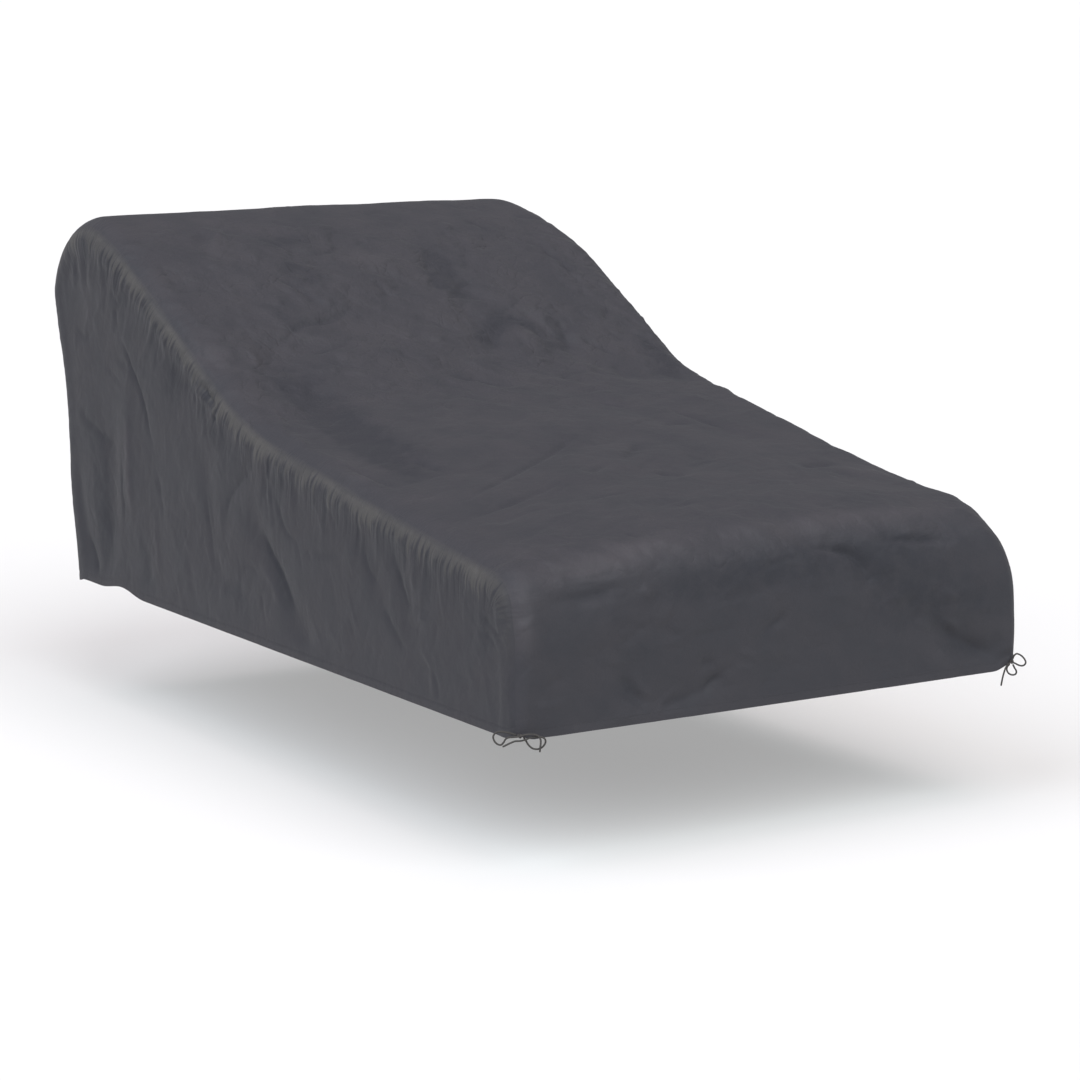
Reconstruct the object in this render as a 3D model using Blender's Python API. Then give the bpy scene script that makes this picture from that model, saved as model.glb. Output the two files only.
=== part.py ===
# Fitted outdoor cover for a long lounge seat with a raised back.
# Metres, +Z up. X runs across the cover, Y from its front (-Y) to its rear (+Y).
# The origin is the seating point: the middle of the width, on the underside of the seat cloth.
# Three cut panels (one strip over front, seat, back and rear, and two sides) are sewn edge to edge,
# and a thin round cord is tied in a bow at each front corner, where the cover closes round a leg.
import math

import bmesh
import bpy
from mathutils import Vector

# ------------------------------------------------------------------ driving sizes
CLOTH = 0.002            # thickness of the coated cloth with its seam allowances
GAP = 0.0005             # clearance along a seam, 0.3 mm at its closest
SEAM_ANGLE = 55.0        # how far round the rounded edge the strip reaches, degrees from its face
SEAT_Y = 0.620           # seating point, back from the front face
SEAT_H = 0.3389          # seating point, above the hem

# The strip's outer middle line, from the front hem over the top to the rear hem.
# y: back from the front face; h: above the hem; fall: how far the left and the right edge lie below
# the middle; edge: radius of the left and the right rounded edge; half: from the middle of the width
# to the left and the right side panel; steps: mesh steps from the row before.
STRIP = (
    # place            y       h      fall left, right  edge left, right  half left, right  steps
    ("front hem",      0.000,  0.000, 0.001, 0.001,     0.018, 0.014,     0.443, 0.450,     0),
    ("front low",      0.000,  0.080, 0.002, 0.002,     0.024, 0.014,     0.442, 0.451,     3),
    ("front high",     0.000,  0.160, 0.006, 0.004,     0.032, 0.026,     0.442, 0.447,     4),
    ("front roll",     0.012,  0.219, 0.014, 0.012,     0.038, 0.046,     0.442, 0.438,     3),
    ("front edge",     0.046,  0.254, 0.024, 0.018,     0.042, 0.054,     0.442, 0.438,     3),
    ("seat lip",       0.105,  0.271, 0.032, 0.020,     0.042, 0.044,     0.442, 0.441,     2),
    ("seat front",     0.192,  0.281, 0.030, 0.022,     0.042, 0.042,     0.442, 0.442,     2),
    ("seat second",    0.312,  0.295, 0.026, 0.020,     0.042, 0.042,     0.442, 0.442,     3),
    ("seat third",     0.452,  0.314, 0.024, 0.015,     0.042, 0.042,     0.442, 0.442,     3),
    ("seat fourth",    0.565,  0.333, 0.024, 0.012,     0.042, 0.042,     0.442, 0.442,     3),
    ("seat fifth",     0.681,  0.350, 0.024, 0.007,     0.042, 0.042,     0.442, 0.442,     3),
    ("seat back",      0.771,  0.367, 0.022, 0.008,     0.042, 0.042,     0.442, 0.442,     2),
    ("valley",         0.851,  0.390, 0.018, 0.010,     0.042, 0.042,     0.442, 0.442,     2),
    ("slope low",      0.945,  0.438, 0.018, 0.010,     0.042, 0.042,     0.442, 0.442,     2),
    ("slope middle",   1.064,  0.505, 0.020, 0.008,     0.042, 0.042,     0.442, 0.442,     3),
    ("slope high",     1.176,  0.562, 0.016, 0.004,     0.042, 0.042,     0.442, 0.442,     3),
    ("head",           1.300,  0.613, 0.008, 0.005,     0.042, 0.064,     0.442, 0.442,     3),
    ("crest",          1.385,  0.630, 0.003, 0.004,     0.043, 0.080,     0.442, 0.441,     2),
    ("top roll",       1.458,  0.614, 0.003, 0.006,     0.044, 0.076,     0.442, 0.442,     2),
    ("rear corner",    1.518,  0.564, 0.003, 0.006,     0.040, 0.056,     0.442, 0.442,     3),
    ("rear bulge",     1.548,  0.500, 0.004, 0.006,     0.038, 0.042,     0.442, 0.442,     2),
    ("rear high",      1.540,  0.440, 0.004, 0.006,     0.038, 0.040,     0.442, 0.442,     2),
    ("rear middle",    1.515,  0.350, 0.004, 0.005,     0.038, 0.038,     0.442, 0.443,     2),
    ("rear lower",     1.500,  0.240, 0.004, 0.004,     0.036, 0.036,     0.442, 0.444,     2),
    ("rear low",       1.490,  0.130, 0.003, 0.003,     0.032, 0.032,     0.442, 0.446,     2),
    ("rear hem high",  1.470,  0.040, 0.002, 0.002,     0.028, 0.028,     0.442, 0.447,     2),
    ("rear hem",       1.462,  0.000, 0.001, 0.001,     0.026, 0.026,     0.442, 0.447,     1),
)
# Where the hem rides up (+) or hangs down (-) at a corner: how much, how far along and how far up it
# reaches.
HEM_CORNERS = (
    # end,   side, lift,   along, up
    ("front", -1,  0.007,  0.030, 0.060),
    ("front",  1,  0.012,  0.045, 0.060),
    ("rear",  -1, -0.008,  0.040, 0.080),
    ("rear",   1, -0.004,  0.040, 0.080),
)
# Where the hem is drawn up between the corners: where along it, how much, how far along and how far up.
HEM_WAVES = (
    # side, y,     lift,   along, up
    (-1,    1.270,  0.010,  0.085, 0.100),
)

# Main folds, each a soft trough (depth above 0) or ridge (below 0) along three points.
# On the strip a point is x and the run along its middle line from the front hem; on a side it is
# y back from the front face and h above the hem.
STRIP_FOLDS = (
    # x1      run1   x2      run2   x3      run3   width  depth
    (-0.300,  1.180, -0.340, 0.930, -0.335, 0.700, 0.060,  0.007),   # flat band beside the left edge
    (-0.250,  1.160, -0.262, 0.960, -0.285, 0.660, 0.030, -0.004),   # its inner ridge
    (-0.313,  1.200, -0.112, 1.275, -0.020, 1.325, 0.032,  0.005),
    ( 0.085,  1.240,  0.095, 1.130,  0.170, 1.085, 0.036,  0.006),   # rim of the round dent
    ( 0.115,  1.420,  0.110, 1.340,  0.095, 1.270, 0.040,  0.005),
    ( 0.410,  1.050,  0.290, 1.060,  0.225, 1.180, 0.036,  0.007),   # waist of the right edge
    (-0.250,  0.650, -0.090, 0.700,  0.082, 0.750, 0.040,  0.005),
    (-0.310,  0.470, -0.090, 0.535,  0.130, 0.600, 0.040,  0.005),
    ( 0.300,  0.700,  0.180, 0.840,  0.150, 1.000, 0.045,  0.005),
    ( 0.055,  0.262,  0.140, 0.200,  0.190, 0.140, 0.030,  0.007),   # front face
    ( 0.250,  0.100,  0.330, 0.055,  0.420, 0.020, 0.030,  0.006),
    (-0.280,  0.090, -0.225, 0.035, -0.120, 0.040, 0.034,  0.004),
    (-0.260,  1.800, -0.230, 2.000, -0.250, 2.200, 0.050,  0.006),   # rear
    ( 0.040,  1.780,  0.010, 2.020,  0.030, 2.240, 0.055,  0.007),
    ( 0.300,  1.820,  0.260, 2.050,  0.290, 2.230, 0.050,  0.006),
)
LEFT_FOLDS = (
    # y1     h1     y2     h2     y3     h3     width  depth
    (1.440,  0.160, 1.410, 0.080, 1.372, 0.010, 0.026,  0.007),
    (1.300,  0.240, 1.308, 0.130, 1.330, 0.020, 0.028,  0.008),
    (1.244,  0.306, 1.247, 0.245, 1.250, 0.183, 0.026, -0.006),
    (1.188,  0.349, 1.138, 0.240, 1.119, 0.040, 0.028,  0.006),
    (0.951,  0.263, 0.925, 0.165, 0.908, 0.094, 0.030,  0.005),
    (0.802,  0.263, 0.868, 0.219, 0.877, 0.160, 0.026,  0.004),
    (0.775,  0.185, 0.709, 0.117, 0.620, 0.040, 0.030,  0.009),
    (0.440,  0.222, 0.410, 0.190, 0.384, 0.150, 0.026,  0.005),
    (0.342,  0.194, 0.320, 0.160, 0.296, 0.115, 0.026,  0.005),
)
RIGHT_FOLDS = (
    # y1     h1     y2     h2     y3     h3     width  depth
    (0.250,  0.190, 0.240, 0.110, 0.262, 0.030, 0.036,  0.006),
    (0.560,  0.240, 0.585, 0.150, 0.575, 0.040, 0.036,  0.005),
    (0.850,  0.300, 0.830, 0.200, 0.860, 0.060, 0.036,  0.007),
    (1.090,  0.420, 1.120, 0.280, 1.105, 0.090, 0.040,  0.006),
    (1.330,  0.480, 1.350, 0.300, 1.330, 0.120, 0.040,  0.007),
)
SEAM_EDGE = 0.012        # no fold comes closer to a seam than this
SEAM_FADE = 0.036        # and folds die out over this distance before it
HEM_FADE = 0.040         # and over this one from a hem

# The corner ties: a knot against the cloth, and cords that lie in a plane facing FACING.
# Route points are millimetres from the knot: u to the right, w up, f outwards.
CORD = 0.0026            # cord diameter
KNOTS = (
    # name          x        y        h       wide    high    deep    facing x, y
    ("left",       -0.4374,  0.0006,  0.0075, 0.0080, 0.0068, 0.0068, -0.528, -0.849),
    ("right",       0.4371, -0.0030,  0.0125, 0.0072, 0.0068, 0.0068, -0.645, -0.764),
)
ROUTES = {
    "left_loop_a": (
        # u      w      f
        (-4.6,   1.3,   0.4),
        (-10.0,  3.0,   0.6),
        (-17.0,  5.0,   0.4),
        (-25.0,  6.2,   0.0),
        (-31.5,  5.4,   0.0),
        (-35.6,  2.4,   0.0),
        (-36.9, -2.0,   0.0),
        (-35.0, -7.6,   0.0),
        (-30.8, -11.6,  0.0),
        (-26.0, -12.4,  0.0),
        (-22.6, -9.0,   0.2),
        (-19.8, -4.2,   1.0),
        (-15.6, -1.6,   2.4),
        (-8.6,  -0.6,   4.2),
        (-1.0,   0.6,   5.2),
        (7.0,    2.6,   4.4),
        (16.0,   3.2,   3.4),
        (24.0,   1.6,   3.4),
        (28.2,  -3.6,   3.6),
        (28.6,  -10.0,  3.4),
        (27.8,  -16.0,  3.2),
        (27.4,  -22.4,  3.2),
    ),
    "left_loop_b": (
        (4.7,   -1.5,   0.2),
        (8.2,   -6.6,   0.2),
        (12.0,  -13.0,  0.0),
        (17.6,  -17.6,  0.0),
        (24.2,  -18.6,  0.0),
        (29.6,  -16.6,  0.0),
        (33.6,  -12.6,  0.0),
        (35.4,  -7.8,   0.0),
        (33.6,  -3.4,   0.0),
        (28.6,  -1.6,  -0.2),
        (21.0,  -1.2,   0.4),
        (13.6,  -2.2,   2.4),
        (7.4,   -4.4,   3.8),
        (0.4,   -6.2,   3.4),
        (-6.6,  -6.6,   3.6),
        (-12.8, -8.8,   4.0),
        (-18.6, -11.8,  3.6),
        (-24.2, -14.6,  3.4),
    ),
    "right_loop_a": (
        (1.5,    4.2,   0.2),
        (3.4,    9.2,   0.2),
        (6.9,    12.4,  0.0),
        (11.6,   11.4,  0.0),
        (16.2,   8.2,   0.0),
        (19.8,   3.6,   0.0),
        (21.2,  -1.0,   0.0),
        (18.8,  -4.8,   0.0),
        (14.4,  -5.8,   0.2),
        (9.6,   -4.2,   1.6),
        (5.0,   -1.4,   4.0),
        (0.0,    0.0,   5.4),
        (-5.0,  -2.6,   5.2),
        (-8.8,  -9.0,   5.0),
        (-11.2, -17.0,  4.8),
        (-13.2, -26.0,  4.8),
        (-15.0, -37.0,  4.8),
    ),
    "right_loop_b": (
        (1.8,   -3.7,   0.0),
        (4.6,   -9.4,   0.0),
        (7.4,   -14.2,  0.0),
        (6.6,   -18.8,  0.0),
        (2.0,   -20.4,  0.0),
        (-3.4,  -18.6,  0.0),
        (-6.6,  -13.8,  0.0),
        (-6.4,  -8.4,  -0.4),
        (-2.6,  -3.7,  -0.4),
    ),
}
ROUTE_STEP = 0.0070      # length between the points of a cord
FRONT_CORNER, REAR_CORNER = "front edge", "rear corner"
FLAT_STEPS = 10          # mesh steps across the strip between its rounded edges
ARC_STEPS = 3            # mesh steps round each edge


# ------------------------------------------------------------------ the smooth outline
def hermite(rows, i, u, col):
    """Value of one column at a fraction u of the way from row i to row i + 1."""
    def at(k):
        return rows[min(max(k, 0), len(rows) - 1)][col]

    def place(k):
        k = min(max(k, 0), len(rows) - 1)
        return rows[k]

    def gap(k):
        a, b = place(k), place(k + 1)
        return max(math.hypot(b[1] - a[1], b[2] - a[2]), 1e-6)

    d = gap(i)

    def slope(k):
        if k <= 0:
            return (at(1) - at(0)) / gap(0)
        if k >= len(rows) - 1:
            return (at(k) - at(k - 1)) / gap(k - 1)
        d0, d1 = gap(k - 1), gap(k)
        return ((at(k) - at(k - 1)) / d0 * d1 + (at(k + 1) - at(k)) / d1 * d0) / (d0 + d1)

    p0, p1, m0, m1 = at(i), at(i + 1), slope(i) * d, slope(i + 1) * d
    u2, u3 = u * u, u * u * u
    return (2 * u3 - 3 * u2 + 1) * p0 + (u3 - 2 * u2 + u) * m0 + (3 * u2 - 2 * u3) * p1 + (u3 - u2) * m1


def station(i, u):
    """The strip's outline and its outward normal at a place between rows i and i + 1."""
    y, h = hermite(STRIP, i, u, 1), hermite(STRIP, i, u, 2)
    e = 0.01
    a, b = (max(u - e, 0.0), min(u + e, 1.0))
    ty = hermite(STRIP, i, b, 1) - hermite(STRIP, i, a, 1)
    th = hermite(STRIP, i, b, 2) - hermite(STRIP, i, a, 2)
    if i == 0 and u < 1e-6 or i == len(STRIP) - 2 and u > 1 - 1e-6:
        ty, th = 0.0, th
    n = math.hypot(ty, th)
    return {"y": y, "h": h, "ny": -th / n, "nh": ty / n,
            "fall": {-1: hermite(STRIP, i, u, 3), 1: hermite(STRIP, i, u, 4)},
            "edge": {-1: hermite(STRIP, i, u, 5), 1: hermite(STRIP, i, u, 6)},
            "half": {-1: hermite(STRIP, i, u, 7), 1: hermite(STRIP, i, u, 8)}}


def stations():
    out = [station(0, 0.0)]
    for i, row in enumerate(STRIP[1:]):
        out += [station(i, (k + 1) / row[9]) for k in range(row[9])]
    return out


def run_lengths(lines):
    run = [0.0]
    for p, q in zip(lines, lines[1:]):
        run.append(run[-1] + math.hypot(q["y"] - p["y"], q["h"] - p["h"]))
    return run


def fold_depth(table, a, b):
    """Sum of the troughs and ridges of a table at one point of a panel."""
    total = 0.0
    for a1, b1, a2, b2, a3, b3, width, depth in table:
        best = 1e9
        for p, q in (((a1, b1), (a2, b2)), ((a2, b2), (a3, b3))):
            da, db = q[0] - p[0], q[1] - p[1]
            t = min(max(((a - p[0]) * da + (b - p[1]) * db) / (da * da + db * db), 0.0), 1.0)
            best = min(best, math.hypot(a - p[0] - da * t, b - p[1] - db * t))
        total += depth * math.exp(-(best / width) ** 2)
    return total


def smooth(t):
    t = min(max(t, 0.0), 1.0)
    return t * t * (3 - 2 * t)


def hem_shift(side, x_in, y, h):
    """How far the hem is lifted near its corners. x_in: distance in from the side panel's face."""
    total = 0.0
    for end, corner, lift, along, up in HEM_CORNERS:
        if corner == side:
            back = max(y, 0.0) if end == "front" else max(STRIP[-1][1] - y, 0.0)
            total += lift * (1 - smooth(max(back, x_in) / along)) * (1 - smooth(h / up))
    for drawn, middle, lift, along, up in HEM_WAVES:
        if drawn == side and x_in < 0.001:
            total += lift * (1 - smooth(abs(y - middle) / along)) * (1 - smooth(h / up))
    return total


def corner_index(name):
    total = 0
    for row in STRIP:
        total += row[9]
        if row[0] == name:
            return total
    raise KeyError(name)


# ------------------------------------------------------------------ points on the cloth
def on_strip(st, run, total, side, part, inset):
    """side: -1 left, +1 right. part: 0..1 across the flat, 1..2 round the edge. inset: below the face."""
    r, half, fall = st["edge"][side], st["half"][side], st["fall"][side]
    if part <= 1.0:
        x = part * (half - r)
        n = -fall * (x / half) ** 2.2
        dx, dn = 0.0, 1.0
        lean = fall * 2.2 * (x / half) ** 1.2 / half
        dx, dn = lean / math.hypot(1, lean), 1 / math.hypot(1, lean)
    else:
        top = -fall * ((half - r) / half) ** 2.2
        lean = math.atan(fall * 2.2 * ((half - r) / half) ** 1.2 / half)
        full = math.radians(SEAM_ANGLE) - GAP / 2 / r
        a = lean + (full - lean) * (part - 1.0)
        x = half - r + r * math.sin(a) - r * math.sin(lean)
        x += r * math.sin(lean) * (part - 1.0)
        n = top - r * (math.cos(lean) - math.cos(a))
        dx, dn = math.sin(a), math.cos(a)
    fade = smooth((half - x - SEAM_EDGE) / SEAM_FADE) * smooth(min(run, total - run) / HEM_FADE)
    n -= fade * fold_depth(STRIP_FOLDS, side * x, run)
    lift = hem_shift(side, half - x, st["y"] + n * st["ny"], st["h"] + n * st["nh"])
    x, n = x - inset * dx, n - inset * dn
    return Vector((side * x, st["y"] + n * st["ny"] - SEAT_Y, st["h"] + n * st["nh"] + lift - SEAT_H))


def seam_point(st, side):
    """Where the side panel meets the strip, in the side panel's own plane (y, h)."""
    r, half, fall = st["edge"][side], st["half"][side], st["fall"][side]
    lean = math.atan(fall * 2.2 * ((half - r) / half) ** 1.2 / half)
    a = math.radians(SEAM_ANGLE) + GAP / 2 / r
    n = -fall * ((half - r) / half) ** 2.2 - r * (math.cos(lean) - math.cos(a))
    return Vector((st["y"] + n * st["ny"], st["h"] + n * st["nh"]))


# ------------------------------------------------------------------ closed sheets from two faces
def sheet(name, outer, inner, material, collection):
    """A closed sheet: an outer grid of points, an inner grid and the rim that joins them."""
    mesh = bpy.data.meshes.new(name)
    bm = bmesh.new()
    tops = [[bm.verts.new(p) for p in row] for row in outer]
    lows = [[bm.verts.new(p) for p in row] for row in inner]
    rows, cols = len(outer), len(outer[0])
    for i in range(rows - 1):
        for j in range(cols - 1):
            bm.faces.new((tops[i][j], tops[i][j + 1], tops[i + 1][j + 1], tops[i + 1][j]))
            bm.faces.new((lows[i][j], lows[i + 1][j], lows[i + 1][j + 1], lows[i][j + 1]))
    rim = [(0, j) for j in range(cols)] + [(i, cols - 1) for i in range(1, rows)]
    rim += [(rows - 1, j) for j in range(cols - 2, -1, -1)] + [(i, 0) for i in range(rows - 2, 0, -1)]
    for k, (i, j) in enumerate(rim):
        a, b = rim[(k + 1) % len(rim)]
        bm.faces.new((tops[i][j], lows[i][j], lows[a][b], tops[a][b]))
    bmesh.ops.recalc_face_normals(bm, faces=bm.faces[:])
    bmesh.ops.triangulate(bm, faces=bm.faces[:])
    bm.to_mesh(mesh)
    bm.free()
    mesh.materials.append(material)
    obj = bpy.data.objects.new(name, mesh)
    collection.objects.link(obj)
    mesh.shade_smooth()
    return obj


def strip_panel(material, collection):
    flat = [k / (FLAT_STEPS / 2) for k in range(FLAT_STEPS // 2 + 1)]
    across = flat + [1 + (k + 1) / ARC_STEPS for k in range(ARC_STEPS)]
    places = [(-1, p) for p in reversed(across)] + [(1, p) for p in across[1:]]
    lines = stations()
    runs = run_lengths(lines)
    end = runs[-1]
    outer = [[on_strip(st, run, end, *place, 0.0) for place in places] for st, run in zip(lines, runs)]
    inner = [[on_strip(st, run, end, *place, CLOTH) for place in places] for st, run in zip(lines, runs)]
    return sheet("panel_strip", outer, inner, material, collection)


def side_panel(name, side, folds, material, collection):
    lines = stations()
    a, b = corner_index(FRONT_CORNER), corner_index(REAR_CORNER)
    seam = [seam_point(st, side) for st in lines]
    front, top, rear = seam[:a + 1], seam[a:b + 1], list(reversed(seam[b:]))
    rows, cols = len(front) - 1, len(top) - 1
    radii = [st["edge"][side] for st in lines]

    def length(points):
        run = [0.0]
        for p, q in zip(points, points[1:]):
            run.append(run[-1] + (q - p).length)
        return [r / run[-1] for r in run]

    def seam_normal(st):
        a = math.radians(SEAM_ANGLE)
        return Vector((side * math.sin(a), math.cos(a) * st["ny"], math.cos(a) * st["nh"]))

    def split(values):
        return values[:a + 1], values[a:b + 1], list(reversed(values[b:]))

    n_front, n_top, n_rear = split([seam_normal(st) for st in lines])
    x_front, x_top, x_rear = split([st["half"][side] for st in lines])
    u_top, v_front, v_rear = length(top), length(front), length(rear)
    hem = [front[0].lerp(rear[0], u) for u in u_top]
    x_hem = [x_front[0] * (1 - u) + x_rear[0] * u for u in u_top]

    def patch(i, j, edge_f, edge_r, edge_t, edge_h):
        """Row i up from the hem and column j back from the front edge, blended from the four edges."""
        u, w = u_top[j], j / cols
        v = v_front[i] * (1 - w) + v_rear[i] * w
        across = edge_f[i] * (1 - u) + edge_r[i] * u
        upward = edge_h[j] * (1 - v) + edge_t[j] * v
        low = edge_h[0] * (1 - u) + edge_h[-1] * u
        high = edge_t[0] * (1 - u) + edge_t[-1] * u
        return across + upward - low * (1 - v) - high * v

    def depth(p):
        """How far the rounded edge and the folds draw the cloth in at a point of the side."""
        best, radius = 1e9, 0.03
        for k in range(len(seam) - 1):
            q, r = seam[k], seam[k + 1]
            d = r - q
            t = min(max((p - q).dot(d) / d.length_squared, 0.0), 1.0)
            gap = (p - q - d * t).length
            if gap < best:
                best, radius = gap, radii[k] * (1 - t) + radii[k + 1] * t
        reach = radius * math.cos(math.radians(SEAM_ANGLE))
        fade = smooth((best - SEAM_EDGE) / SEAM_FADE) * smooth(p.y / HEM_FADE)
        drawn = fade * fold_depth(folds, p.x, p.y)
        if best < reach:
            drawn += radius - math.sqrt(max(radius * radius - (reach - best) ** 2, 0.0))
        return drawn

    outer = []
    for i in range(rows + 1):
        line = []
        for j in range(cols + 1):
            p = patch(i, j, front, rear, top, hem)
            x = patch(i, j, x_front, x_rear, x_top, x_hem) - depth(p)
            line.append(Vector((side * x, p.x - SEAT_Y, p.y + hem_shift(side, 0.0, p.x, p.y) - SEAT_H)))
        outer.append(line)
    inner = []
    for i in range(rows + 1):
        line = []
        for j in range(cols + 1):
            du = outer[i][min(j + 1, cols)] - outer[i][max(j - 1, 0)]
            dv = outer[min(i + 1, rows)][j] - outer[max(i - 1, 0)][j]
            n = du.cross(dv).normalized()
            n = n if n.x * side > 0 else -n
            n = n_front[i] if j == 0 else n_rear[i] if j == cols else n_top[j] if i == rows else n
            line.append(outer[i][j] - n * CLOTH)
        inner.append(line)
    return sheet(name, outer, inner, material, collection)


# ------------------------------------------------------------------ corner ties
def knot_frame(name):
    for knot, x, y, h, wide, high, deep, fx, fy in KNOTS:
        if knot == name:
            out = Vector((fx, fy, 0)).normalized()
            centre = Vector((x, y - SEAT_Y, h - SEAT_H))
            return centre, Vector((-out.y, out.x, 0)), Vector((0, 0, 1)), out, (wide, high, deep)
    raise KeyError(name)


def smooth_route(points, step):
    """Points about one step apart on a smooth curve through the route's own points."""
    def at(k, t):
        p = [points[min(max(k + d, 0), len(points) - 1)] for d in (-1, 0, 1, 2)]
        a, b, c, d = p
        return 0.5 * ((2 * b) + (c - a) * t + (2 * a - 5 * b + 4 * c - d) * t * t
                      + (3 * b - a - 3 * c + d) * t * t * t)

    fine = [at(k, t / 16) for k in range(len(points) - 1) for t in range(16)] + [points[-1]]
    run = [0.0]
    for p, q in zip(fine, fine[1:]):
        run.append(run[-1] + (q - p).length)
    count = max(int(round(run[-1] / step)), 4)
    out, k = [], 0
    for n in range(count + 1):
        want = run[-1] * n / count
        while k < len(fine) - 2 and run[k + 1] < want:
            k += 1
        t = (want - run[k]) / max(run[k + 1] - run[k], 1e-9)
        out.append(fine[k].lerp(fine[k + 1], min(max(t, 0.0), 1.0)))
    return out


def cord(name, knot, route, material, collection):
    centre, right, up, out, _ = knot_frame(knot)
    points = [centre + (right * u + up * w + out * f) / 1000 for u, w, f in ROUTES[route]]
    points = smooth_route(points, ROUTE_STEP)
    curve = bpy.data.curves.new(name, "CURVE")
    curve.dimensions = "3D"
    curve.bevel_depth = CORD / 2
    curve.bevel_resolution = 2
    curve.use_fill_caps = True
    spline = curve.splines.new("POLY")
    spline.points.add(len(points) - 1)
    for place, p in zip(spline.points, points):
        place.co = (*p, 1.0)
    curve.materials.append(material)
    obj = bpy.data.objects.new(name, curve)
    collection.objects.link(obj)


def knot(name, which, material, collection):
    centre, right, up, out, size = knot_frame(which)
    mesh = bpy.data.meshes.new(name)
    bm = bmesh.new()
    bmesh.ops.create_uvsphere(bm, u_segments=12, v_segments=8, radius=0.5)
    for v in bm.verts:
        a = v.co.copy()
        v.co = right * a.x * size[0] + up * a.z * size[1] - out * a.y * size[2]
    bm.normal_update()
    bm.to_mesh(mesh)
    bm.free()
    mesh.materials.append(material)
    mesh.shade_smooth()
    obj = bpy.data.objects.new(name, mesh)
    obj.location = centre
    collection.objects.link(obj)


# ------------------------------------------------------------------ materials and build
def cloth_material(name, colour, roughness):
    m = bpy.data.materials.new(name)
    m.use_nodes = True
    b = m.node_tree.nodes["Principled BSDF"]
    b.inputs["Base Color"].default_value = (*colour, 1.0)
    b.inputs["Roughness"].default_value = roughness
    b.inputs["Metallic"].default_value = 0.0
    return m


def main():
    for obj in list(bpy.data.objects):
        bpy.data.objects.remove(obj, do_unlink=True)
    group = bpy.data.collections.new("sofa_cover")
    bpy.context.scene.collection.children.link(group)
    cloth = cloth_material("coated_cloth", (0.075, 0.078, 0.090), 0.62)
    strip_panel(cloth, group)
    side_panel("panel_side_left", -1, LEFT_FOLDS, cloth, group)
    side_panel("panel_side_right", 1, RIGHT_FOLDS, cloth, group)
    braid = cloth_material("braided_cord", (0.060, 0.058, 0.060), 0.80)
    for side in ("left", "right"):
        knot("tie_%s_knot" % side, side, braid, group)
        for loop in ("a", "b"):
            cord("tie_%s_cord_%s" % (side, loop), side, "%s_loop_%s" % (side, loop), braid, group)


main()
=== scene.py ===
import math
import random

import bpy
import numpy as np
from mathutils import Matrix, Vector


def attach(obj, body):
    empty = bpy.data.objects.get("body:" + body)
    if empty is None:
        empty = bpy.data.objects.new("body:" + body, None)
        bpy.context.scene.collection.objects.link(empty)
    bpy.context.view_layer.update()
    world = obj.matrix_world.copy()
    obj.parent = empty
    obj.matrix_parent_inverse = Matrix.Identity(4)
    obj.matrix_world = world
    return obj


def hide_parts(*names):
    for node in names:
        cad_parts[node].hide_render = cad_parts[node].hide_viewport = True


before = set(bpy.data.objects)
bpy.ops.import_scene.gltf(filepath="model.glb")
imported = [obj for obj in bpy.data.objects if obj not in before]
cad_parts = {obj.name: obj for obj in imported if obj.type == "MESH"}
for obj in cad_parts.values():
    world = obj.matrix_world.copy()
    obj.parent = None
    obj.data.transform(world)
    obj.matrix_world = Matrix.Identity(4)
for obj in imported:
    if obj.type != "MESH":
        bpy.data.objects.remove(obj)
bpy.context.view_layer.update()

# ---------- driving sizes, as in the CAD model
SEAT_Y = 0.620  # seating point (the frame's origin), back from the front face, metres
SEAT_H = 0.3389  # seating point, above the hem
SEAM_ANGLE = math.radians(55.0)  # how far round the rounded edge the strip reaches
CORD = 0.0026  # cord diameter
FLOOR_BELOW_HEM = 0.2027

# The strip's outer middle line from the front hem over the top to the rear hem, in millimetres:
# back from the front face, above the hem, fall left and right, rounded edge left and right, half width
# left and right.
STRIP = (
    ("front hem", 0, 0, 1, 1, 18, 14, 443, 450),
    ("front low", 0, 80, 2, 2, 24, 14, 442, 451),
    ("front high", 0, 160, 6, 4, 32, 26, 442, 447),
    ("front roll", 12, 219, 14, 12, 38, 46, 442, 438),
    ("front edge", 46, 254, 24, 18, 42, 54, 442, 438),
    ("seat lip", 105, 271, 32, 20, 42, 44, 442, 441),
    ("seat front", 192, 281, 30, 22, 42, 42, 442, 442),
    ("seat second", 312, 295, 26, 20, 42, 42, 442, 442),
    ("seat third", 452, 314, 24, 15, 42, 42, 442, 442),
    ("seat fourth", 565, 333, 24, 12, 42, 42, 442, 442),
    ("seat fifth", 681, 350, 24, 7, 42, 42, 442, 442),
    ("seat back", 771, 367, 22, 8, 42, 42, 442, 442),
    ("valley", 851, 390, 18, 10, 42, 42, 442, 442),
    ("slope low", 945, 438, 18, 10, 42, 42, 442, 442),
    ("slope middle", 1064, 505, 20, 8, 42, 42, 442, 442),
    ("slope high", 1176, 562, 16, 4, 42, 42, 442, 442),
    ("head", 1300, 613, 8, 5, 42, 64, 442, 442),
    ("crest", 1385, 630, 3, 4, 43, 80, 442, 441),
    ("top roll", 1458, 614, 3, 6, 44, 76, 442, 442),
    ("rear corner", 1518, 564, 3, 6, 40, 56, 442, 442),
    ("rear bulge", 1548, 500, 4, 6, 38, 42, 442, 442),
    ("rear high", 1540, 440, 4, 6, 38, 40, 442, 442),
    ("rear middle", 1515, 350, 4, 5, 38, 38, 442, 443),
    ("rear lower", 1500, 240, 4, 4, 36, 36, 442, 444),
    ("rear low", 1490, 130, 3, 3, 32, 32, 442, 446),
    ("rear hem high", 1470, 40, 2, 2, 28, 28, 442, 447),
    ("rear hem", 1462, 0, 1, 1, 26, 26, 442, 447),
)
COLUMNS = ("y", "h", "fall_l", "fall_r", "edge_l", "edge_r", "half_l", "half_r")
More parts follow.
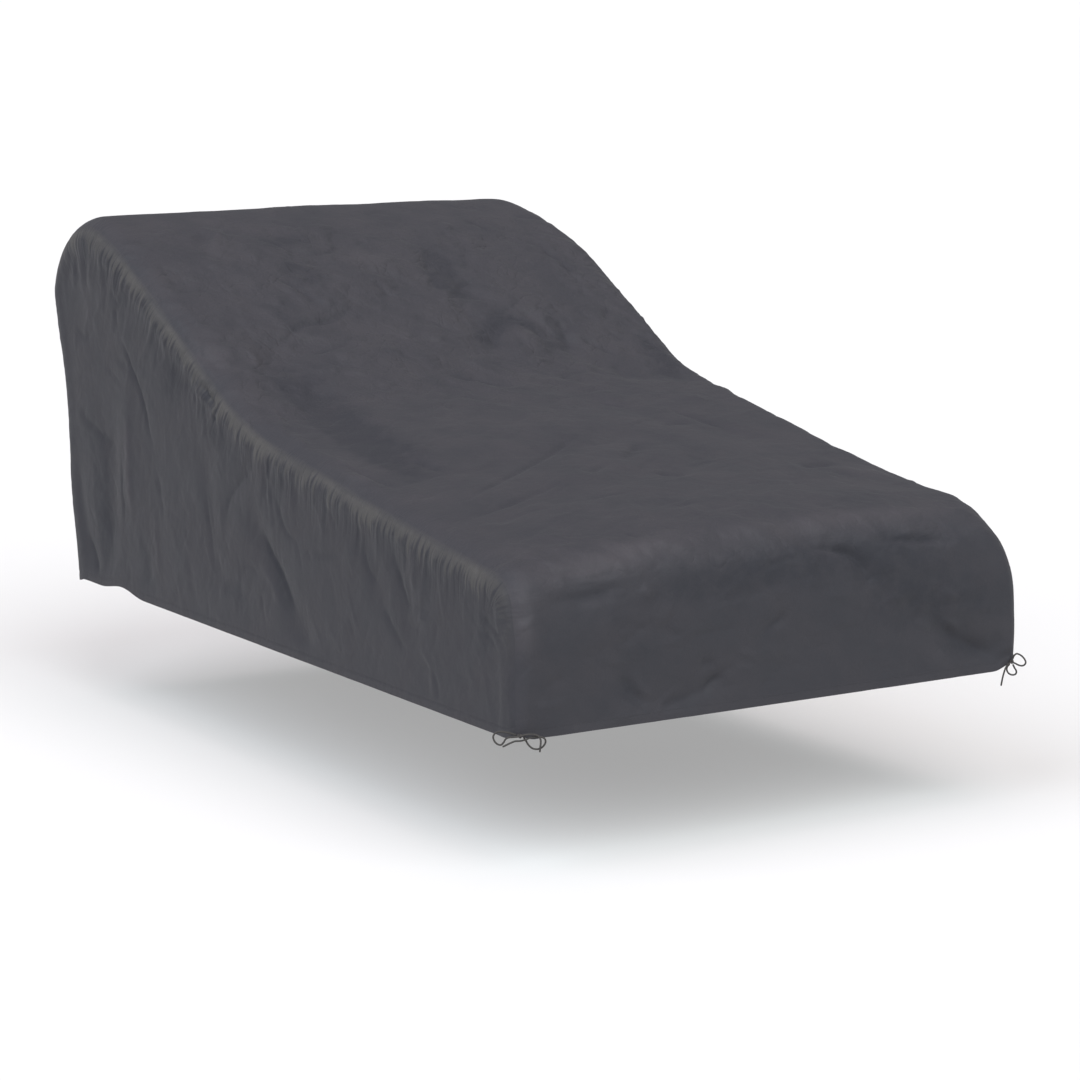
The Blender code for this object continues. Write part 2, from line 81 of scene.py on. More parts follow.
HEM_CORNERS = (  # end, side, then lift, along and up in metres
    ("front", -1, 0.007, 0.030, 0.060),
    ("front", 1, 0.012, 0.045, 0.060),
    ("rear", -1, -0.008, 0.040, 0.080),
    ("rear", 1, -0.004, 0.040, 0.080),
)
HEM_WAVES = ((-1, 1.270, 0.010, 0.085, 0.100),)  # side, then y, lift, along and up

# ---------- cloth sizes, metres
CLOTH = 0.0014  # thickness drawn for the cloth
# the strip's mesh cells: up to this run, this long
CELLS = ((0.30, 0.0038), (1.00, 0.0046), (1.78, 0.0042), (2.50, 0.0140))
FLAT_CELLS = 84  # cells across the strip from the middle to each rounded edge
ARC_CELLS = 12  # cells round each rounded edge
SIDE_ROWS, SIDE_COLS = 196, 468
INNER_STEP = 4  # the inner face takes every fourth point
SEAM_EDGE, SEAM_FADE, HEM_FADE = 0.012, 0.036, 0.040  # where the main folds die out
HEM_BAND = 0.013  # width of the turned hem
STITCH = 0.0032  # length of a stitch with its gap
ROUGHNESS = (  # run along the strip, and how crumpled the cloth is there
    (0.00, 0.45), (0.19, 0.60), (0.25, 1.50), (0.32, 1.10), (0.45, 0.65), (0.85, 0.75), (0.95, 1.40),
    (1.10, 2.20), (1.50, 2.00), (1.60, 0.90), (1.66, 0.40), (1.76, 0.40), (2.50, 0.80),
)
SIDE_ROUGHNESS = 0.5
GATHER_HEIGHT = (  # run along the strip, and how high the seam's gathers stand there
    (0.00, 0.25), (0.09, 0.35), (0.14, 0.45), (0.24, 0.70), (0.34, 0.90), (0.75, 1.00), (1.00, 1.25),
    (1.20, 1.40), (1.60, 1.40), (1.75, 0.80), (1.90, 0.30), (2.45, 0.20),
)


# ---------- the smooth outline
def smooth(t):
    t = np.clip(t, 0.0, 1.0)
    return t * t * (3 - 2 * t)


def run_of(points):
    """Length along a line of points, from its first."""
    return np.concatenate([[0.0], np.cumsum(np.linalg.norm(np.diff(points, axis=0), axis=1))])


def run_in_plane(a, b):
    return np.concatenate([[0.0], np.cumsum(np.hypot(np.diff(a), np.diff(b)))])


def sample_outline(steps=24):
    """The strip's outline sampled finely: a dictionary of arrays along the run from the front hem."""
    rows = np.array([row[1:] for row in STRIP]) / 1000
    gaps = np.maximum(np.hypot(*np.diff(rows[:, :2], axis=0).T), 1e-6)[:, None]
    rise = np.diff(rows, axis=0) / gaps
    slopes = np.empty_like(rows)
    slopes[0], slopes[-1] = rise[0], rise[-1]
    slopes[1:-1] = (rise[:-1] * gaps[1:] + rise[1:] * gaps[:-1]) / (gaps[:-1] + gaps[1:])
    u = (np.arange(steps) / steps)[:, None]
    u2, u3 = u * u, u * u * u
    parts = [(2 * u3 - 3 * u2 + 1) * rows[i] + (u3 - 2 * u2 + u) * slopes[i] * gaps[i]
             + (3 * u2 - 2 * u3) * rows[i + 1] + (u3 - u2) * slopes[i + 1] * gaps[i]
             for i in range(len(rows) - 1)]
    line = np.vstack(parts + [rows[-1:]])
    out = {name: line[:, k] for k, name in enumerate(COLUMNS)}
    out["run"] = run_in_plane(out["y"], out["h"])
    ty, th = np.gradient(out["y"], out["run"]), np.gradient(out["h"], out["run"])
    ty[0], ty[-1] = 0.0, 0.0
    size = np.hypot(ty, th)
    out["ny"], out["nh"] = -th / size, ty / size
    return out, {row[0]: out["run"][k * steps] for k, row in enumerate(STRIP)}


OUTLINE, PLACE_RUN = sample_outline()
RUN_END, REAR_Y = OUTLINE["run"][-1], OUTLINE["y"][-1]


def run_at_y(y):
    """Run along the middle line at a distance back from the front face, over the top of the cover."""
    top = (OUTLINE["run"] > PLACE_RUN["front high"]) & (OUTLINE["run"] < PLACE_RUN["rear bulge"])
    return np.interp(y, OUTLINE["y"][top], OUTLINE["run"][top])


def gathered(run):
    """0 where the seam is plain, 1 where it is gathered."""
    return smooth((np.interp(run, *zip(*GATHER_HEIGHT)) - 0.30) / 0.60)


def hem_shift(side, x_in, y, h):
    """How far the hem is lifted near its corners."""
    total = 0.0
    for end, corner, lift, along, up in HEM_CORNERS:
        if corner == side:
            back = np.maximum(y if end == "front" else REAR_Y - y, 0.0)
            total = total + lift * (1 - smooth(np.maximum(back, x_in) / along)) * (1 - smooth(h / up))
    for drawn, middle, lift, along, up in HEM_WAVES:
        if drawn == side:
            total = total + (lift * (1 - smooth(np.abs(y - middle) / along)) * (1 - smooth(h / up))
                             * (np.asarray(x_in) < 0.001))
    return total


# ---------- folds and creases
# The main folds: three points, then width and depth, in millimetres.
STRIP_FOLDS = (
    (-300, 1180, -340, 930, -335, 700, 60, 7),
    (-250, 1160, -262, 960, -285, 660, 30, -4),
    (-313, 1200, -112, 1275, -20, 1325, 32, 5),
    (85, 1240, 95, 1130, 170, 1085, 36, 6),
    (115, 1420, 110, 1340, 95, 1270, 40, 5),
    (410, 1050, 290, 1060, 225, 1180, 36, 7),
    (-250, 650, -90, 700, 82, 750, 40, 5),
    (-310, 470, -90, 535, 130, 600, 40, 5),
    (300, 700, 180, 840, 150, 1000, 45, 5),
    (55, 262, 140, 200, 190, 140, 30, 7),
    (250, 100, 330, 55, 420, 20, 30, 6),
    (-280, 90, -225, 35, -120, 40, 34, 4),
    (-260, 1800, -230, 2000, -250, 2200, 50, 6),
    (40, 1780, 10, 2020, 30, 2240, 55, 7),
    (300, 1820, 260, 2050, 290, 2230, 50, 6),
)
LEFT_FOLDS = (
    (1440, 160, 1410, 80, 1372, 10, 26, 7),
    (1300, 240, 1308, 130, 1330, 20, 28, 8),
    (1244, 306, 1247, 245, 1250, 183, 26, -6),
    (1188, 349, 1138, 240, 1119, 40, 28, 2),
    (951, 263, 925, 165, 908, 94, 30, 5),
    (802, 263, 868, 219, 877, 160, 26, 4),
    (775, 185, 709, 117, 620, 40, 30, 9),
    (440, 222, 410, 190, 384, 150, 26, 5),
    (342, 194, 320, 160, 296, 115, 26, 5),
)
RIGHT_FOLDS = (
    (250, 190, 240, 110, 262, 30, 36, 6),
    (560, 240, 585, 150, 575, 40, 36, 5),
    (850, 300, 830, 200, 860, 60, 36, 7),
    (1090, 420, 1120, 280, 1105, 90, 40, 6),
    (1330, 480, 1350, 300, 1330, 120, 40, 7),
)

# Listed creases: width (mm), depth (tenths of a mm, below 0 for a ridge), how sharp and how skew
# (tenths), then the points (mm, two numbers each).
TOP_CREASES = (
    # the sloping back and the head, points as x laid flat and y
    (7, 30, 7, 2, -300, 965, -270, 985, -225, 1010, -175, 1015, -100, 1045),
    (6, 22, 7, 2, -255, 925, -225, 945, -180, 955, -145, 970),
    (7, -20, 5, 0, -345, 975, -347, 920),
    (7, -20, 5, 0, -385, 810, -393, 750),
    (7, -22, 5, 0, -400, 730, -410, 660),
    (7, 24, 6, 0, 0, 1265, -45, 1240, -65, 1200, -105, 1185, -150, 1210),
    (6, 24, 7, 0, -30, 1170, -35, 1130, -10, 1115, 20, 1095, 20, 1075),
    (6, 18, 6, 0, -45, 1100, -30, 1055),
    (8, -20, 3, 0, 80, 1070, 52, 1025),
    (6, 20, 7, 0, 185, 1180, 145, 1110),
    (6, 18, 7, 0, 100, 1075, 130, 1085, 175, 1100),
    (20, 28, 1, 0, 85, 1068, 155, 1045),
    (12, -16, 0, 0, 175, 1255, 195, 1245),
    (6, 16, 7, 0, 5, 990, 38, 952),
    (6, 14, 7, 0, -5, 945, 32, 922),
    (6, 18, 8, 0, -188, 870, -160, 850, -135, 818),
    (12, 34, 4, 3, -60, 868, -20, 842, 25, 815, 50, 790),
    (9, -24, 4, 0, -235, 1290, -262, 1252, -287, 1210),
    (15, 28, 2, 0, -265, 1285, -305, 1225),
    (5, 14, 7, 0, -410, 1172, -345, 1165),
    (5, 15, 7, 0, -405, 1146, -335, 1140),
    (5, 14, 7, 0, -402, 1122, -330, 1116),
    (12, 32, 4, 3, -220, 1145, -192, 1100, -165, 1050),
    (7, -20, 5, 0, -176, 1095, -148, 1045),
    (5, 16, 8, 0, -262, 1048, -248, 1016),
    (13, -20, 0, 0, -254, 1082, -236, 1058),
    (8, 30, 6, 2, 330, 1195, 345, 1135, 350, 1090, 350, 1060),
    (5, 14, 8, 0, 345, 1052, 345, 1026),
    (6, 22, 7, 0, 292, 1003, 315, 980, 330, 962),
    (7, 28, 7, 0, 336, 958, 352, 985, 376, 1004),
    (6, 20, 7, 0, 320, 952, 356, 918),
    (7, 28, 7, 0, 264, 936, 290, 905, 308, 876),
    (12, 40, 5, 3, 100, 895, 94, 930, 122, 966, 158, 983, 205, 982),
    (10, 24, 4, 0, 250, 985, 242, 935, 220, 900),
    (38, -26, 0, 0, 140, 938, 190, 935),
    (11, 28, 5, 0, 112, 1180, 76, 1120, 74, 1075),
    (9, 22, 5, 0, 172, 1235, 166, 1190),
    (7, 22, 6, 0, 228, 1245, 250, 1258, 262, 1215),
    (6, 16, 7, 0, 186, 1245, 208, 1220),
    (9, 22, 5, 0, 145, 812, 180, 832, 215, 836),
    (9, 24, 5, 0, 345, 890, 382, 872),
    (38, 22, 10, -7, -240, 960, -262, 890, -278, 740, -286, 581, -292, 441),
    (6, -14, 8, 0, -250, 940, -272, 740, -280, 581, -285, 441),
    (6, -14, 8, 0, -421, 700, -404, 583, -386, 446),
    (6, -14, 8, 0, -372, 860, -388, 800, -421, 694),
    (20, 16, 10, 6, -310, 961, -352, 900, -381, 832),
    # the seat
    (5, 24, 8, 0, -385, 290, -195, 403, 10, 539, 60, 570),
    (5, 20, 8, 0, -390, 240, -195, 316, -120, 350),
    (5, 14, 8, 0, -124, 750, -108, 700),
    (5, 12, 8, 0, -108, 745, -93, 702),
    (6, 18, 7, 0, 150, 710, 170, 688, 190, 664),
    (5, 14, 7, 0, 44, 862, 56, 838),
    (6, 16, 6, 0, 118, 812, 132, 785),
    (7, 18, 5, 0, 165, 556, 205, 566, 250, 558),
    (12, 34, 4, 3, 92, 492, 40, 440, -10, 392),
    (10, 22, 4, 0, -105, 352, -65, 375, -28, 394),
    (6, 16, 6, 0, -185, 236, -135, 246, -85, 240),
    (6, 30, 8, 4, -408, 565, -396, 490, -384, 410),
    (8, -24, 4, 0, -424, 535, -404, 450),
    (8, 24, 6, 0, -304, 545, -292, 490, -284, 435),
    (9, 26, 5, 0, 240, 640, 262, 575, 284, 510),
    (11, 34, 5, 0, 250, 292, 295, 308, 345, 312),
    (32, -34, 0, 0, 300, 255, 400, 248),
    (10, 24, 4, 0, 10, 345, 55, 296),
    (9, 20, 5, 0, -95, 142, -60, 152, -28, 156),
    (5, 18, 8, 0, -212, 82, -200, 50),
    (5, 14, 8, 0, -186, 76, -178, 48),
)
FRONT_CREASES = (
    # points as x laid flat and run from the front hem
    (9, 40, 6, 3, 50, 226, 100, 222, 135, 208, 160, 184, 180, 148),
    (8, 34, 6, 3, 175, 229, 225, 222, 285, 214, 340, 209),
    (12, 36, 4, 0, 275, 90, 310, 73, 355, 48, 425, 14),
    (6, -16, 5, 0, 255, 96, 290, 72),
    (6, -14, 5, 0, 305, 96, 348, 66),
    (9, 24, 5, 0, -38, 104, -6, 118, 26, 137),
    (8, 20, 6, 0, -277, 84, -252, 46, -222, 18),
    (6, -18, 5, 0, -250, 78, -235, 50, -208, 30),
    (9, 22, 5, 0, -225, 18, -170, 24, -120, 36),
    (7, 20, 6, 0, -142, 76, -104, 71),
    (7, 24, 6, 0, -134, 26, -115, 45, -84, 51),
    (5, -14, 6, 0, -76, 88, -26, 69),
    (5, -12, 6, 0, -80, 66, -30, 52),
    (6, -18, 6, 0, -236, 196, -212, 178),
    (5, 12, 7, 0, -375, 222, -310, 219, -245, 223),
    (5, 12, 7, 0, -365, 210, -290, 207),
    (5, 12, 7, 0, -385, 236, -300, 232),
    (11, 26, 3, 0, -395, 190, -320, 192, -240, 202),
    (5, -12, 6, 0, 295, 138, 345, 118),
    (5, -12, 6, 0, 330, 98, 366, 112),
)
LEFT_CREASES = (
    # points as y and h, from the head forwards
    (8, 26, 5, 0, 1425, 570, 1426, 520),
    (8, -24, 4, 0, 1437, 550, 1436, 495),
    (8, -24, 4, 0, 1406, 592, 1404, 520),
    (8, 26, 5, 0, 1390, 570, 1388, 500),
    (8, -24, 4, 0, 1370, 570, 1371, 495),
    (7, -20, 4, 0, 1330, 588, 1332, 540),
    (7, 22, 5, 0, 1315, 560, 1310, 505),
    (7, 24, 6, 0, 1290, 516, 1256, 486),
    (7, 24, 6, 0, 1272, 492, 1270, 440),
    (8, -22, 4, 0, 1246, 542, 1244, 500),
    (7, 26, 7, 0, 1442, 438, 1395, 424, 1362, 444),
    (7, -22, 5, 0, 1374, 478, 1404, 424),
    (6, 45, 9, 0, 1265, 452, 1215, 392, 1175, 335, 1155, 290, 1126, 252),
    (6, 50, 8, 0, 960, 398, 929, 372, 893, 350),
    (5, 30, 8, 0, 918, 352, 905, 335),
    (8, 26, 6, 0, 1130, 235, 1116, 192, 1104, 145),
    (9, -28, 4, 0, 1142, 172, 1135, 115, 1118, 30),
    (7, 22, 6, 0, 1284, 402, 1208, 384),
    (7, 22, 6, 0, 1324, 384, 1246, 358),
    (20, 46, 2, 0, 1110, 418, 1035, 396, 960, 368),
    (6, 24, 7, 0, 1000, 408, 942, 380, 900, 364),
    (9, -26, 3, 0, 990, 386, 930, 360, 895, 347),
    (11, 36, 5, 0, 1440, 308, 1388, 280, 1325, 260, 1272, 242),
    (6, 30, 7, -3, 1258, 262, 1254, 185, 1257, 105),
    (10, -36, 3, 0, 1234, 340, 1230, 220, 1224, 105),
    (5, -14, 6, 0, 1236, 242, 1234, 170),
    (4, 16, 8, 0, 1232, 204, 1231, 182),
    (9, 50, 6, 0, 1416, 86, 1386, 50, 1362, 4),
    (6, 18, 7, 0, 1396, 130, 1366, 96),
    (20, 36, 1, 0, 1190, 130, 1167, 60, 1160, 0),
    (7, 26, 6, 0, 950, 245, 948, 190, 935, 148, 918, 80),
    (6, 20, 6, 0, 825, 338, 824, 272),
    (7, 28, 6, 0, 788, 274, 820, 255, 865, 220, 888, 165),
    (4, 14, 8, 0, 806, 276, 805, 256),
    (5, 14, 7, 0, 1020, 155, 1021, 124),
    (5, 16, 7, 0, 888, 154, 860, 126),
    (6, 20, 7, 0, 832, 100, 800, 120, 762, 108),
    (13, 26, 3, 0, 905, 74, 850, 79, 796, 74),
    (9, 56, 6, -3, 782, 194, 737, 156, 690, 115, 644, 58),
    (11, -40, 3, 0, 776, 145, 724, 103, 684, 62),
    (6, 18, 7, 0, 762, 88, 748, 32),
    (7, 32, 7, 0, 714, 260, 692, 216, 676, 196, 652, 186, 618, 185),
    (5, 14, 7, 0, 608, 178, 590, 160),
    (8, 26, 6, 0, 594, 174, 545, 177, 492, 187),
    (7, 32, 7, 0, 437, 220, 422, 176, 384, 152),
    (8, 46, 7, -2, 350, 210, 330, 178, 310, 150, 296, 122),
    (9, -34, 3, 0, 286, 235, 284, 160),
    (8, 32, 6, 0, 388, 136, 345, 100, 294, 60),
    (7, -26, 5, 0, 282, 88, 250, 76, 234, 56, 224, 8),
    (7, 22, 5, 0, 262, 68, 222, 48, 210, 10),
    (6, 18, 7, 0, 484, 100, 456, 60),
    (7, 24, 6, 0, 108, 168, 62, 146, 26, 128),
    (6, 18, 6, 0, 96, 142, 44, 118),
)
RIGHT_CREASES = (
    # points as y and h, from the head forwards; unseen, so like the left but not its mirror
    (8, 26, 5, 0, 1440, 560, 1438, 505),
    (8, -24, 4, 0, 1415, 575, 1412, 500),
    (8, 26, 5, 0, 1372, 580, 1375, 500),
    (8, 24, 5, 0, 1300, 560, 1288, 490),
    (10, 52, 6, -3, 1300, 455, 1250, 390, 1215, 320, 1190, 240),
    (7, 22, 6, 0, 1350, 400, 1262, 380),
    (9, -30, 4, 0, 1180, 220, 1170, 130, 1160, 40),
    (10, 36, 5, 0, 1420, 260, 1370, 235, 1320, 225),
    (9, 46, 6, 0, 1380, 100, 1350, 50, 1340, 6),
    (18, 44, 2, 0, 1090, 408, 1010, 380, 945, 352),
    (7, 28, 6, 0, 980, 250, 965, 180, 940, 90),
    (7, 26, 6, 0, 820, 290, 850, 240, 862, 170),
    (9, 50, 6, -3, 740, 210, 700, 160, 640, 100, 600, 50),
    (11, -36, 3, 0, 730, 150, 680, 100, 640, 50),
    (7, 30, 7, 0, 560, 240, 535, 195, 490, 175),
    (8, 38, 7, -2, 380, 215, 355, 170, 330, 120),
    (8, 28, 6, 0, 300, 120, 255, 85, 215, 30),
    (7, 24, 6, 0, 125, 175, 80, 150, 30, 135),
)
REAR_CREASES = (
    # points as x laid flat and run from the front hem; unseen, hanging from the head
    (12, 36, 4, 0, -370, 1860, -340, 1960, -355, 2080),
    (10, -28, 3, 0, -300, 1850, -285, 1990, -300, 2150),
    (12, 34, 4, 0, -180, 1870, -150, 2020, -165, 2200),
    (10, 30, 5, 0, -60, 1850, -85, 1940, -70, 2040),
    (12, -30, 3, 0, 80, 1860, 70, 2020, 90, 2220),
    (12, 36, 4, 0, 170, 1850, 190, 1980, 175, 2140),
    (10, 30, 5, 0, 340, 1860, 320, 1970, 335, 2120),
    (12, 30, 4, 0, -260, 2240, -120, 2290, 60, 2270),
    (12, 28, 4, 0, 120, 2300, 250, 2260, 390, 2290),
)

# Places painted darker or paler: painted shade standing for shaded slopes and hollows, painted highlight
# along the rounded front edge and on ridges. Rows as above, but the depth says how dark (hundredths, below
# 0 for a paler place).
STRIP_PAINTED_SHADING = (
    # points as x laid flat and run
    (36, 60, 0, 4, -330, 1250, -316, 1080, -330, 860, -343, 600),
    (18, 70, 0, 0, 40, 1150, 105, 1216, 157, 1237, 220, 1160),
    (18, 70, 0, 0, 120, 1500, 110, 1394, 76, 1352, 120, 1290),
    (22, 50, 0, 0, 386, 1203, 390, 1114, 357, 995),
    (22, 40, 0, 0, -210, 1500, -67, 1538),
    (24, 45, 0, 0, -190, 1454, -133, 1373),
    (30, -35, 0, 0, -57, 1475, 29, 1415),
    (26, -30, 0, 0, -424, 1297, -403, 1131),
    (26, -75, 0, 0, -440, 275, -388, 240, -298, 240, -196, 258, -72, 264),
    (20, -55, 0, 0, -130, 262, 110, 268, 252, 272, 420, 272),
    (20, -75, 0, 0, -432, 250, -427, 169, -425, 100),
    (30, 40, 0, 0, -340, 170, -100, 195, 110, 203, 300, 205, 430, 200),
    (50, 35, 0, 0, 100, 160, 300, 130, 460, 120),
)
LEFT_PAINTED_SHADING = (
    # points as y and h
    (24, 100, 0, 0, 1392, 330, 1352, 210, 1340, 116, 1326, 10),
    (12, 60, 0, 0, 1300, 150, 1304, 80, 1310, 10),
    (28, 50, 0, 0, 1105, 389, 1016, 360),
    (20, 45, 0, 0, 924, 335, 905, 290),
    (16, 40, 0, 0, 770, 190, 700, 110, 650, 40),
    (7, -70, 0, 0, 1240, 320, 1232, 217, 1230, 120),
    (22, -40, 0, 0, 1412, 560, 1376, 420),
)

# Creases scattered at random over a zone, metres: how many, the zone's first and second coordinate,
# length, width, depth, angle from the first coordinate and its spread (degrees), how sharp.
STRIP_STROKES = (
    (260, (-0.44, 0.44), (1.02, 1.66), (0.03, 0.11), (0.004, 0.007), (0.0006, 0.0015), 50, 55, 0.85),
    (230, (-0.44, 0.44), (0.30, 1.06), (0.05, 0.18), (0.004, 0.008), (0.0004, 0.0011), 34, 20, 0.8),
    (150, (-0.44, 0.44), (0.00, 0.30), (0.03, 0.12), (0.005, 0.009), (0.0003, 0.0010), 8, 24, 0.6),
    (70, (-0.44, 0.44), (1.78, RUN_END), (0.06, 0.20), (0.012, 0.018), (0.0005, 0.0015), 90, 25, 0.6),
)
SIDE_STROKES = (
    (230, (0.02, 1.48), (0.02, 0.50), (0.03, 0.13), (0.005, 0.009), (0.0004, 0.0012), 80, 30, 0.6),
)
HANGING_CREASES = 150  # on each side, hanging from its seam
# The nets of crumples, coarse to fine: cell size along each coordinate, height, and the share that is
# left in the smoother patches.
CRUMPLES = ((0.062, 0.054, 0.0017, 1.0), (0.030, 0.026, 0.0015, 0.3), (0.015, 0.014, 0.0008, 0.2))
BROAD, PATCHES = (0.110, 0.090, 0.0011), (0.080, 0.070)  # the broad unevenness, the smoother patches
STRIP_FINE, SIDE_FOLD, SIDE_FINE = 1.8, 0.6, 0.65  # shares of the tables' depths that are drawn
SIDE_SWELL = 0.0015  # the sides' swelling under the seam
CREASE_SHADE, SHADE_RANGE = 75, (-0.30, 0.25)  # painted shading for a metre of crease height, painted shade in troughs and painted highlight on ridges, and its limits
LEAN_PAINTED_LIGHT, ROUGH_LEAN_PAINTED_LIGHT, ROUGH_MOST = 0.020, 0.008, 1.6  # painted light and shade for the facets' lean towards the lights, more where rough


class Relief:
    """Heights added to a panel, in metres outward, built up crease by crease on its own coordinates."""

    def __init__(self, a, b):
        self.a, self.b = a.ravel(), b.ravel()
        self.z = np.zeros(self.a.size)
        self.order = np.argsort(self.a)
        self.sorted_a = self.a[self.order]

    def near(self, a_low, a_high, b_low, b_high):
        """Indices of the points in a box."""
        i, j = np.searchsorted(self.sorted_a, (a_low, a_high))
        part = self.order[i:j]
        b = self.b[part]
        return part[(b > b_low) & (b < b_high)]

    def crease(self, points, width, depth, sharp=0.0, skew=0.0, taper=0.35):
        """A trough (depth above 0) or ridge along a smooth curve through the points. sharp: 0 round,
        1 creased. skew: -1..1 moves the steep flank to one side. taper: the share of each end."""
        p = curve(points, 4) if len(points) > 2 else np.array(points, dtype=float)
        reach = width * (3.0 if sharp < 0.5 else 4.5)
        low, high = p.min(axis=0) - reach, p.max(axis=0) + reach
        near = self.near(low[0], high[0], low[1], high[1])
        if not near.size:
            return
        a, b = self.a[near], self.b[near]
        seg = np.diff(p, axis=0)
        length = np.maximum(np.hypot(*seg.T), 1e-9)
        start = np.concatenate([[0.0], np.cumsum(length)])
        best, along, sign = np.full(a.size, 1e9), np.zeros(a.size), np.ones(a.size)
        for k in range(len(seg)):
            da, db = a - p[k, 0], b - p[k, 1]
            t = np.clip((da * seg[k, 0] + db * seg[k, 1]) / length[k] ** 2, 0, 1)
            ea, eb = da - t * seg[k, 0], db - t * seg[k, 1]
            d = np.hypot(ea, eb)
            closer = d < best
            best = np.where(closer, d, best)
            along = np.where(closer, start[k] + t * length[k], along)
            sign = np.where(closer, np.sign(seg[k, 0] * eb - seg[k, 1] * ea), sign)
        w = width * np.maximum(1 + skew * sign * np.tanh(best / width * 2), 0.2)
        round_shape = np.exp(-(best / w) ** 2)
        sharp_shape = np.exp(-np.sqrt((best / w) ** 2 + 0.04) + 0.2)
        shape = (1 - sharp) * round_shape + sharp * sharp_shape
        if taper > 0:
            end = taper * start[-1]
            shape = shape * smooth(along / end) * smooth((start[-1] - along) / end)
        self.z[near] -= depth * shape

    def pucker(self, a, width, reach, height, slant):
        """A ridge that starts at b = 0, leans by slant, and widens as it dies out over its reach."""
        aside = 4 * width + abs(slant) * 3 * reach
        near = self.near(a - aside, a + aside, -1.0, 2.6 * reach)
        b = self.b[near]
        across = (self.a[near] - a - slant * b) / (width * (1 + 0.8 * b / reach))
        self.z[near] += height * np.exp(-across ** 2 - (b / reach) ** 1.7)


def curve(points, steps):
    """A smooth curve through points of any dimension, with this many steps between each two."""
    p = np.array(points, dtype=float)
    p = np.vstack([2 * p[0] - p[1], p, 2 * p[-1] - p[-2]])
    t = (np.arange(steps) / steps)[:, None]
    parts = [0.5 * (2 * b + (c - a) * t + (2 * a - 5 * b + 4 * c - d) * t ** 2
                    + (3 * b - a - 3 * c + d) * t ** 3)
             for a, b, c, d in zip(p[:-3], p[1:-2], p[2:-1], p[3:])]
    return np.vstack(parts + [p[-2:-1]])


def blotches(a, b, size_a, size_b, seed):
    """Smooth noise between -1 and 1 over a panel's coordinates."""
    rng = np.random.default_rng(seed)
    u, v = (a - a.min()) / size_a, (b - b.min()) / size_b
    values = rng.uniform(-1, 1, (int(u.max()) + 3, int(v.max()) + 3))
    i, j = u.astype(int), v.astype(int)
    s, t = smooth(u - i), smooth(v - j)
    return ((1 - s) * (1 - t) * values[i, j] + s * (1 - t) * values[i + 1, j]
            + (1 - s) * t * values[i, j + 1] + s * t * values[i + 1, j + 1])


def facets(a, b, size_a, size_b, seed):
    """Crumples between -1 and 1: random heights joined by flat facets, on a bent net of triangles;
    and how far each facet leans, above 0 for those that rise backwards and to the right."""
    bend = [0.5 * blotches(a, b, 1.8 * size_a, 1.8 * size_b, seed + k) for k in (50, 51)]
    u, v = (a - a.min()) / size_a + 1 + bend[0], (b - b.min()) / size_b + 1 + bend[1]
    values = np.random.default_rng(seed).uniform(-1, 1, (int(u.max()) + 3, int(v.max()) + 3))
    i, j = u.astype(int), v.astype(int)
    s, t = u - i, v - j
    low, high = values[i, j], values[i + 1, j + 1]
    right, up = values[i + 1, j], values[i, j + 1]
    lower = s + t < 1
    height = np.where(lower, low + s * (right - low) + t * (up - low),
                      high + (1 - s) * (up - high) + (1 - t) * (right - high))
    return height, np.where(lower, right + up - 2 * low, 2 * high - right - up)


def fold_relief(relief, table):
    for row in table:
        a1, b1, a2, b2, a3, b3, width, depth = (v / 1000 for v in row)
        relief.crease(((a1, b1), (a2, b2), (a3, b3)), width, depth, taper=0.0)


def crease_relief(relief, table, depths=10000, at=lambda a, b: (a, b)):
    """The creases of a table, whose depths are in units of one part in so many."""
    for width, depth, sharp, skew, *points in table:
        relief.crease([at(a / 1000, b / 1000) for a, b in zip(points[::2], points[1::2])],
                      width / 1000, depth / depths, sharp / 10, skew / 10)


def strokes(relief, rng, table):
    for count, a_zone, b_zone, length, width, depth, angle, spread, sharp in table:
        for _ in range(count):
            a, b = rng.uniform(*a_zone), rng.uniform(*b_zone)
            size = rng.uniform(*length) / 2
            turn = math.radians(rng.gauss(angle, spread))
            bend = rng.uniform(-0.3, 0.3)
            da, db = math.cos(turn) * size, math.sin(turn) * size
            points = ((a - da, b - db), (a - db * bend, b + da * bend), (a + da, b + db))
            drawn = rng.uniform(*depth) * rng.choice((-1, 1))
            relief.crease(points, rng.uniform(*width), drawn, sharp, rng.uniform(-0.6, 0.6), 0.4)


def hanging_creases(relief, rng, side):
    line = SEAMS[side]
    top = slice(np.argmax(line["h"] > 0.2), len(line["s"]) - np.argmax(line["h"][::-1] > 0.2))
    ys, hs = line["y"][top], line["h"][top]
    for _ in range(HANGING_CREASES):
        k = rng.randrange(len(ys))
        size, lean = rng.uniform(0.04, 0.15), rng.uniform(-0.3, 0.3)
        y, h = ys[k], hs[k] - rng.uniform(0.0, 0.03)
        points = ((y, h), (y + lean * size * 0.3, h - size / 2), (y + lean * size, h - size))
        relief.crease(points, rng.uniform(0.005, 0.008), rng.uniform(-0.0015, 0.0015), 0.5,
                      rng.uniform(-0.5, 0.5), 0.4)


# ---------- the panels as grids of points
def crown(x, fall, half):
    """How far the cloth lies above its middle line at x across (below 0), and how steeply it falls."""
    return -fall * (x / half) ** 2.2, fall * 2.2 * (x / half) ** 1.2 / half


def seam_line(k):
    """The seam on one side, l or r, where the strip and the side panel meet."""
    st = OUTLINE
    r, half = st["edge_" + k], st["half_" + k]
    n, lean = crown(half - r, st["fall_" + k], half)
    n = n - r * (np.cos(np.arctan(lean)) - math.cos(SEAM_ANGLE))
    y, h = st["y"] + n * st["ny"], st["h"] + n * st["nh"]
    return {"y": y, "h": h, "s": run_in_plane(y, h), "edge": r, "half": half}


SEAMS = {-1: seam_line("l"), 1: seam_line("r")}


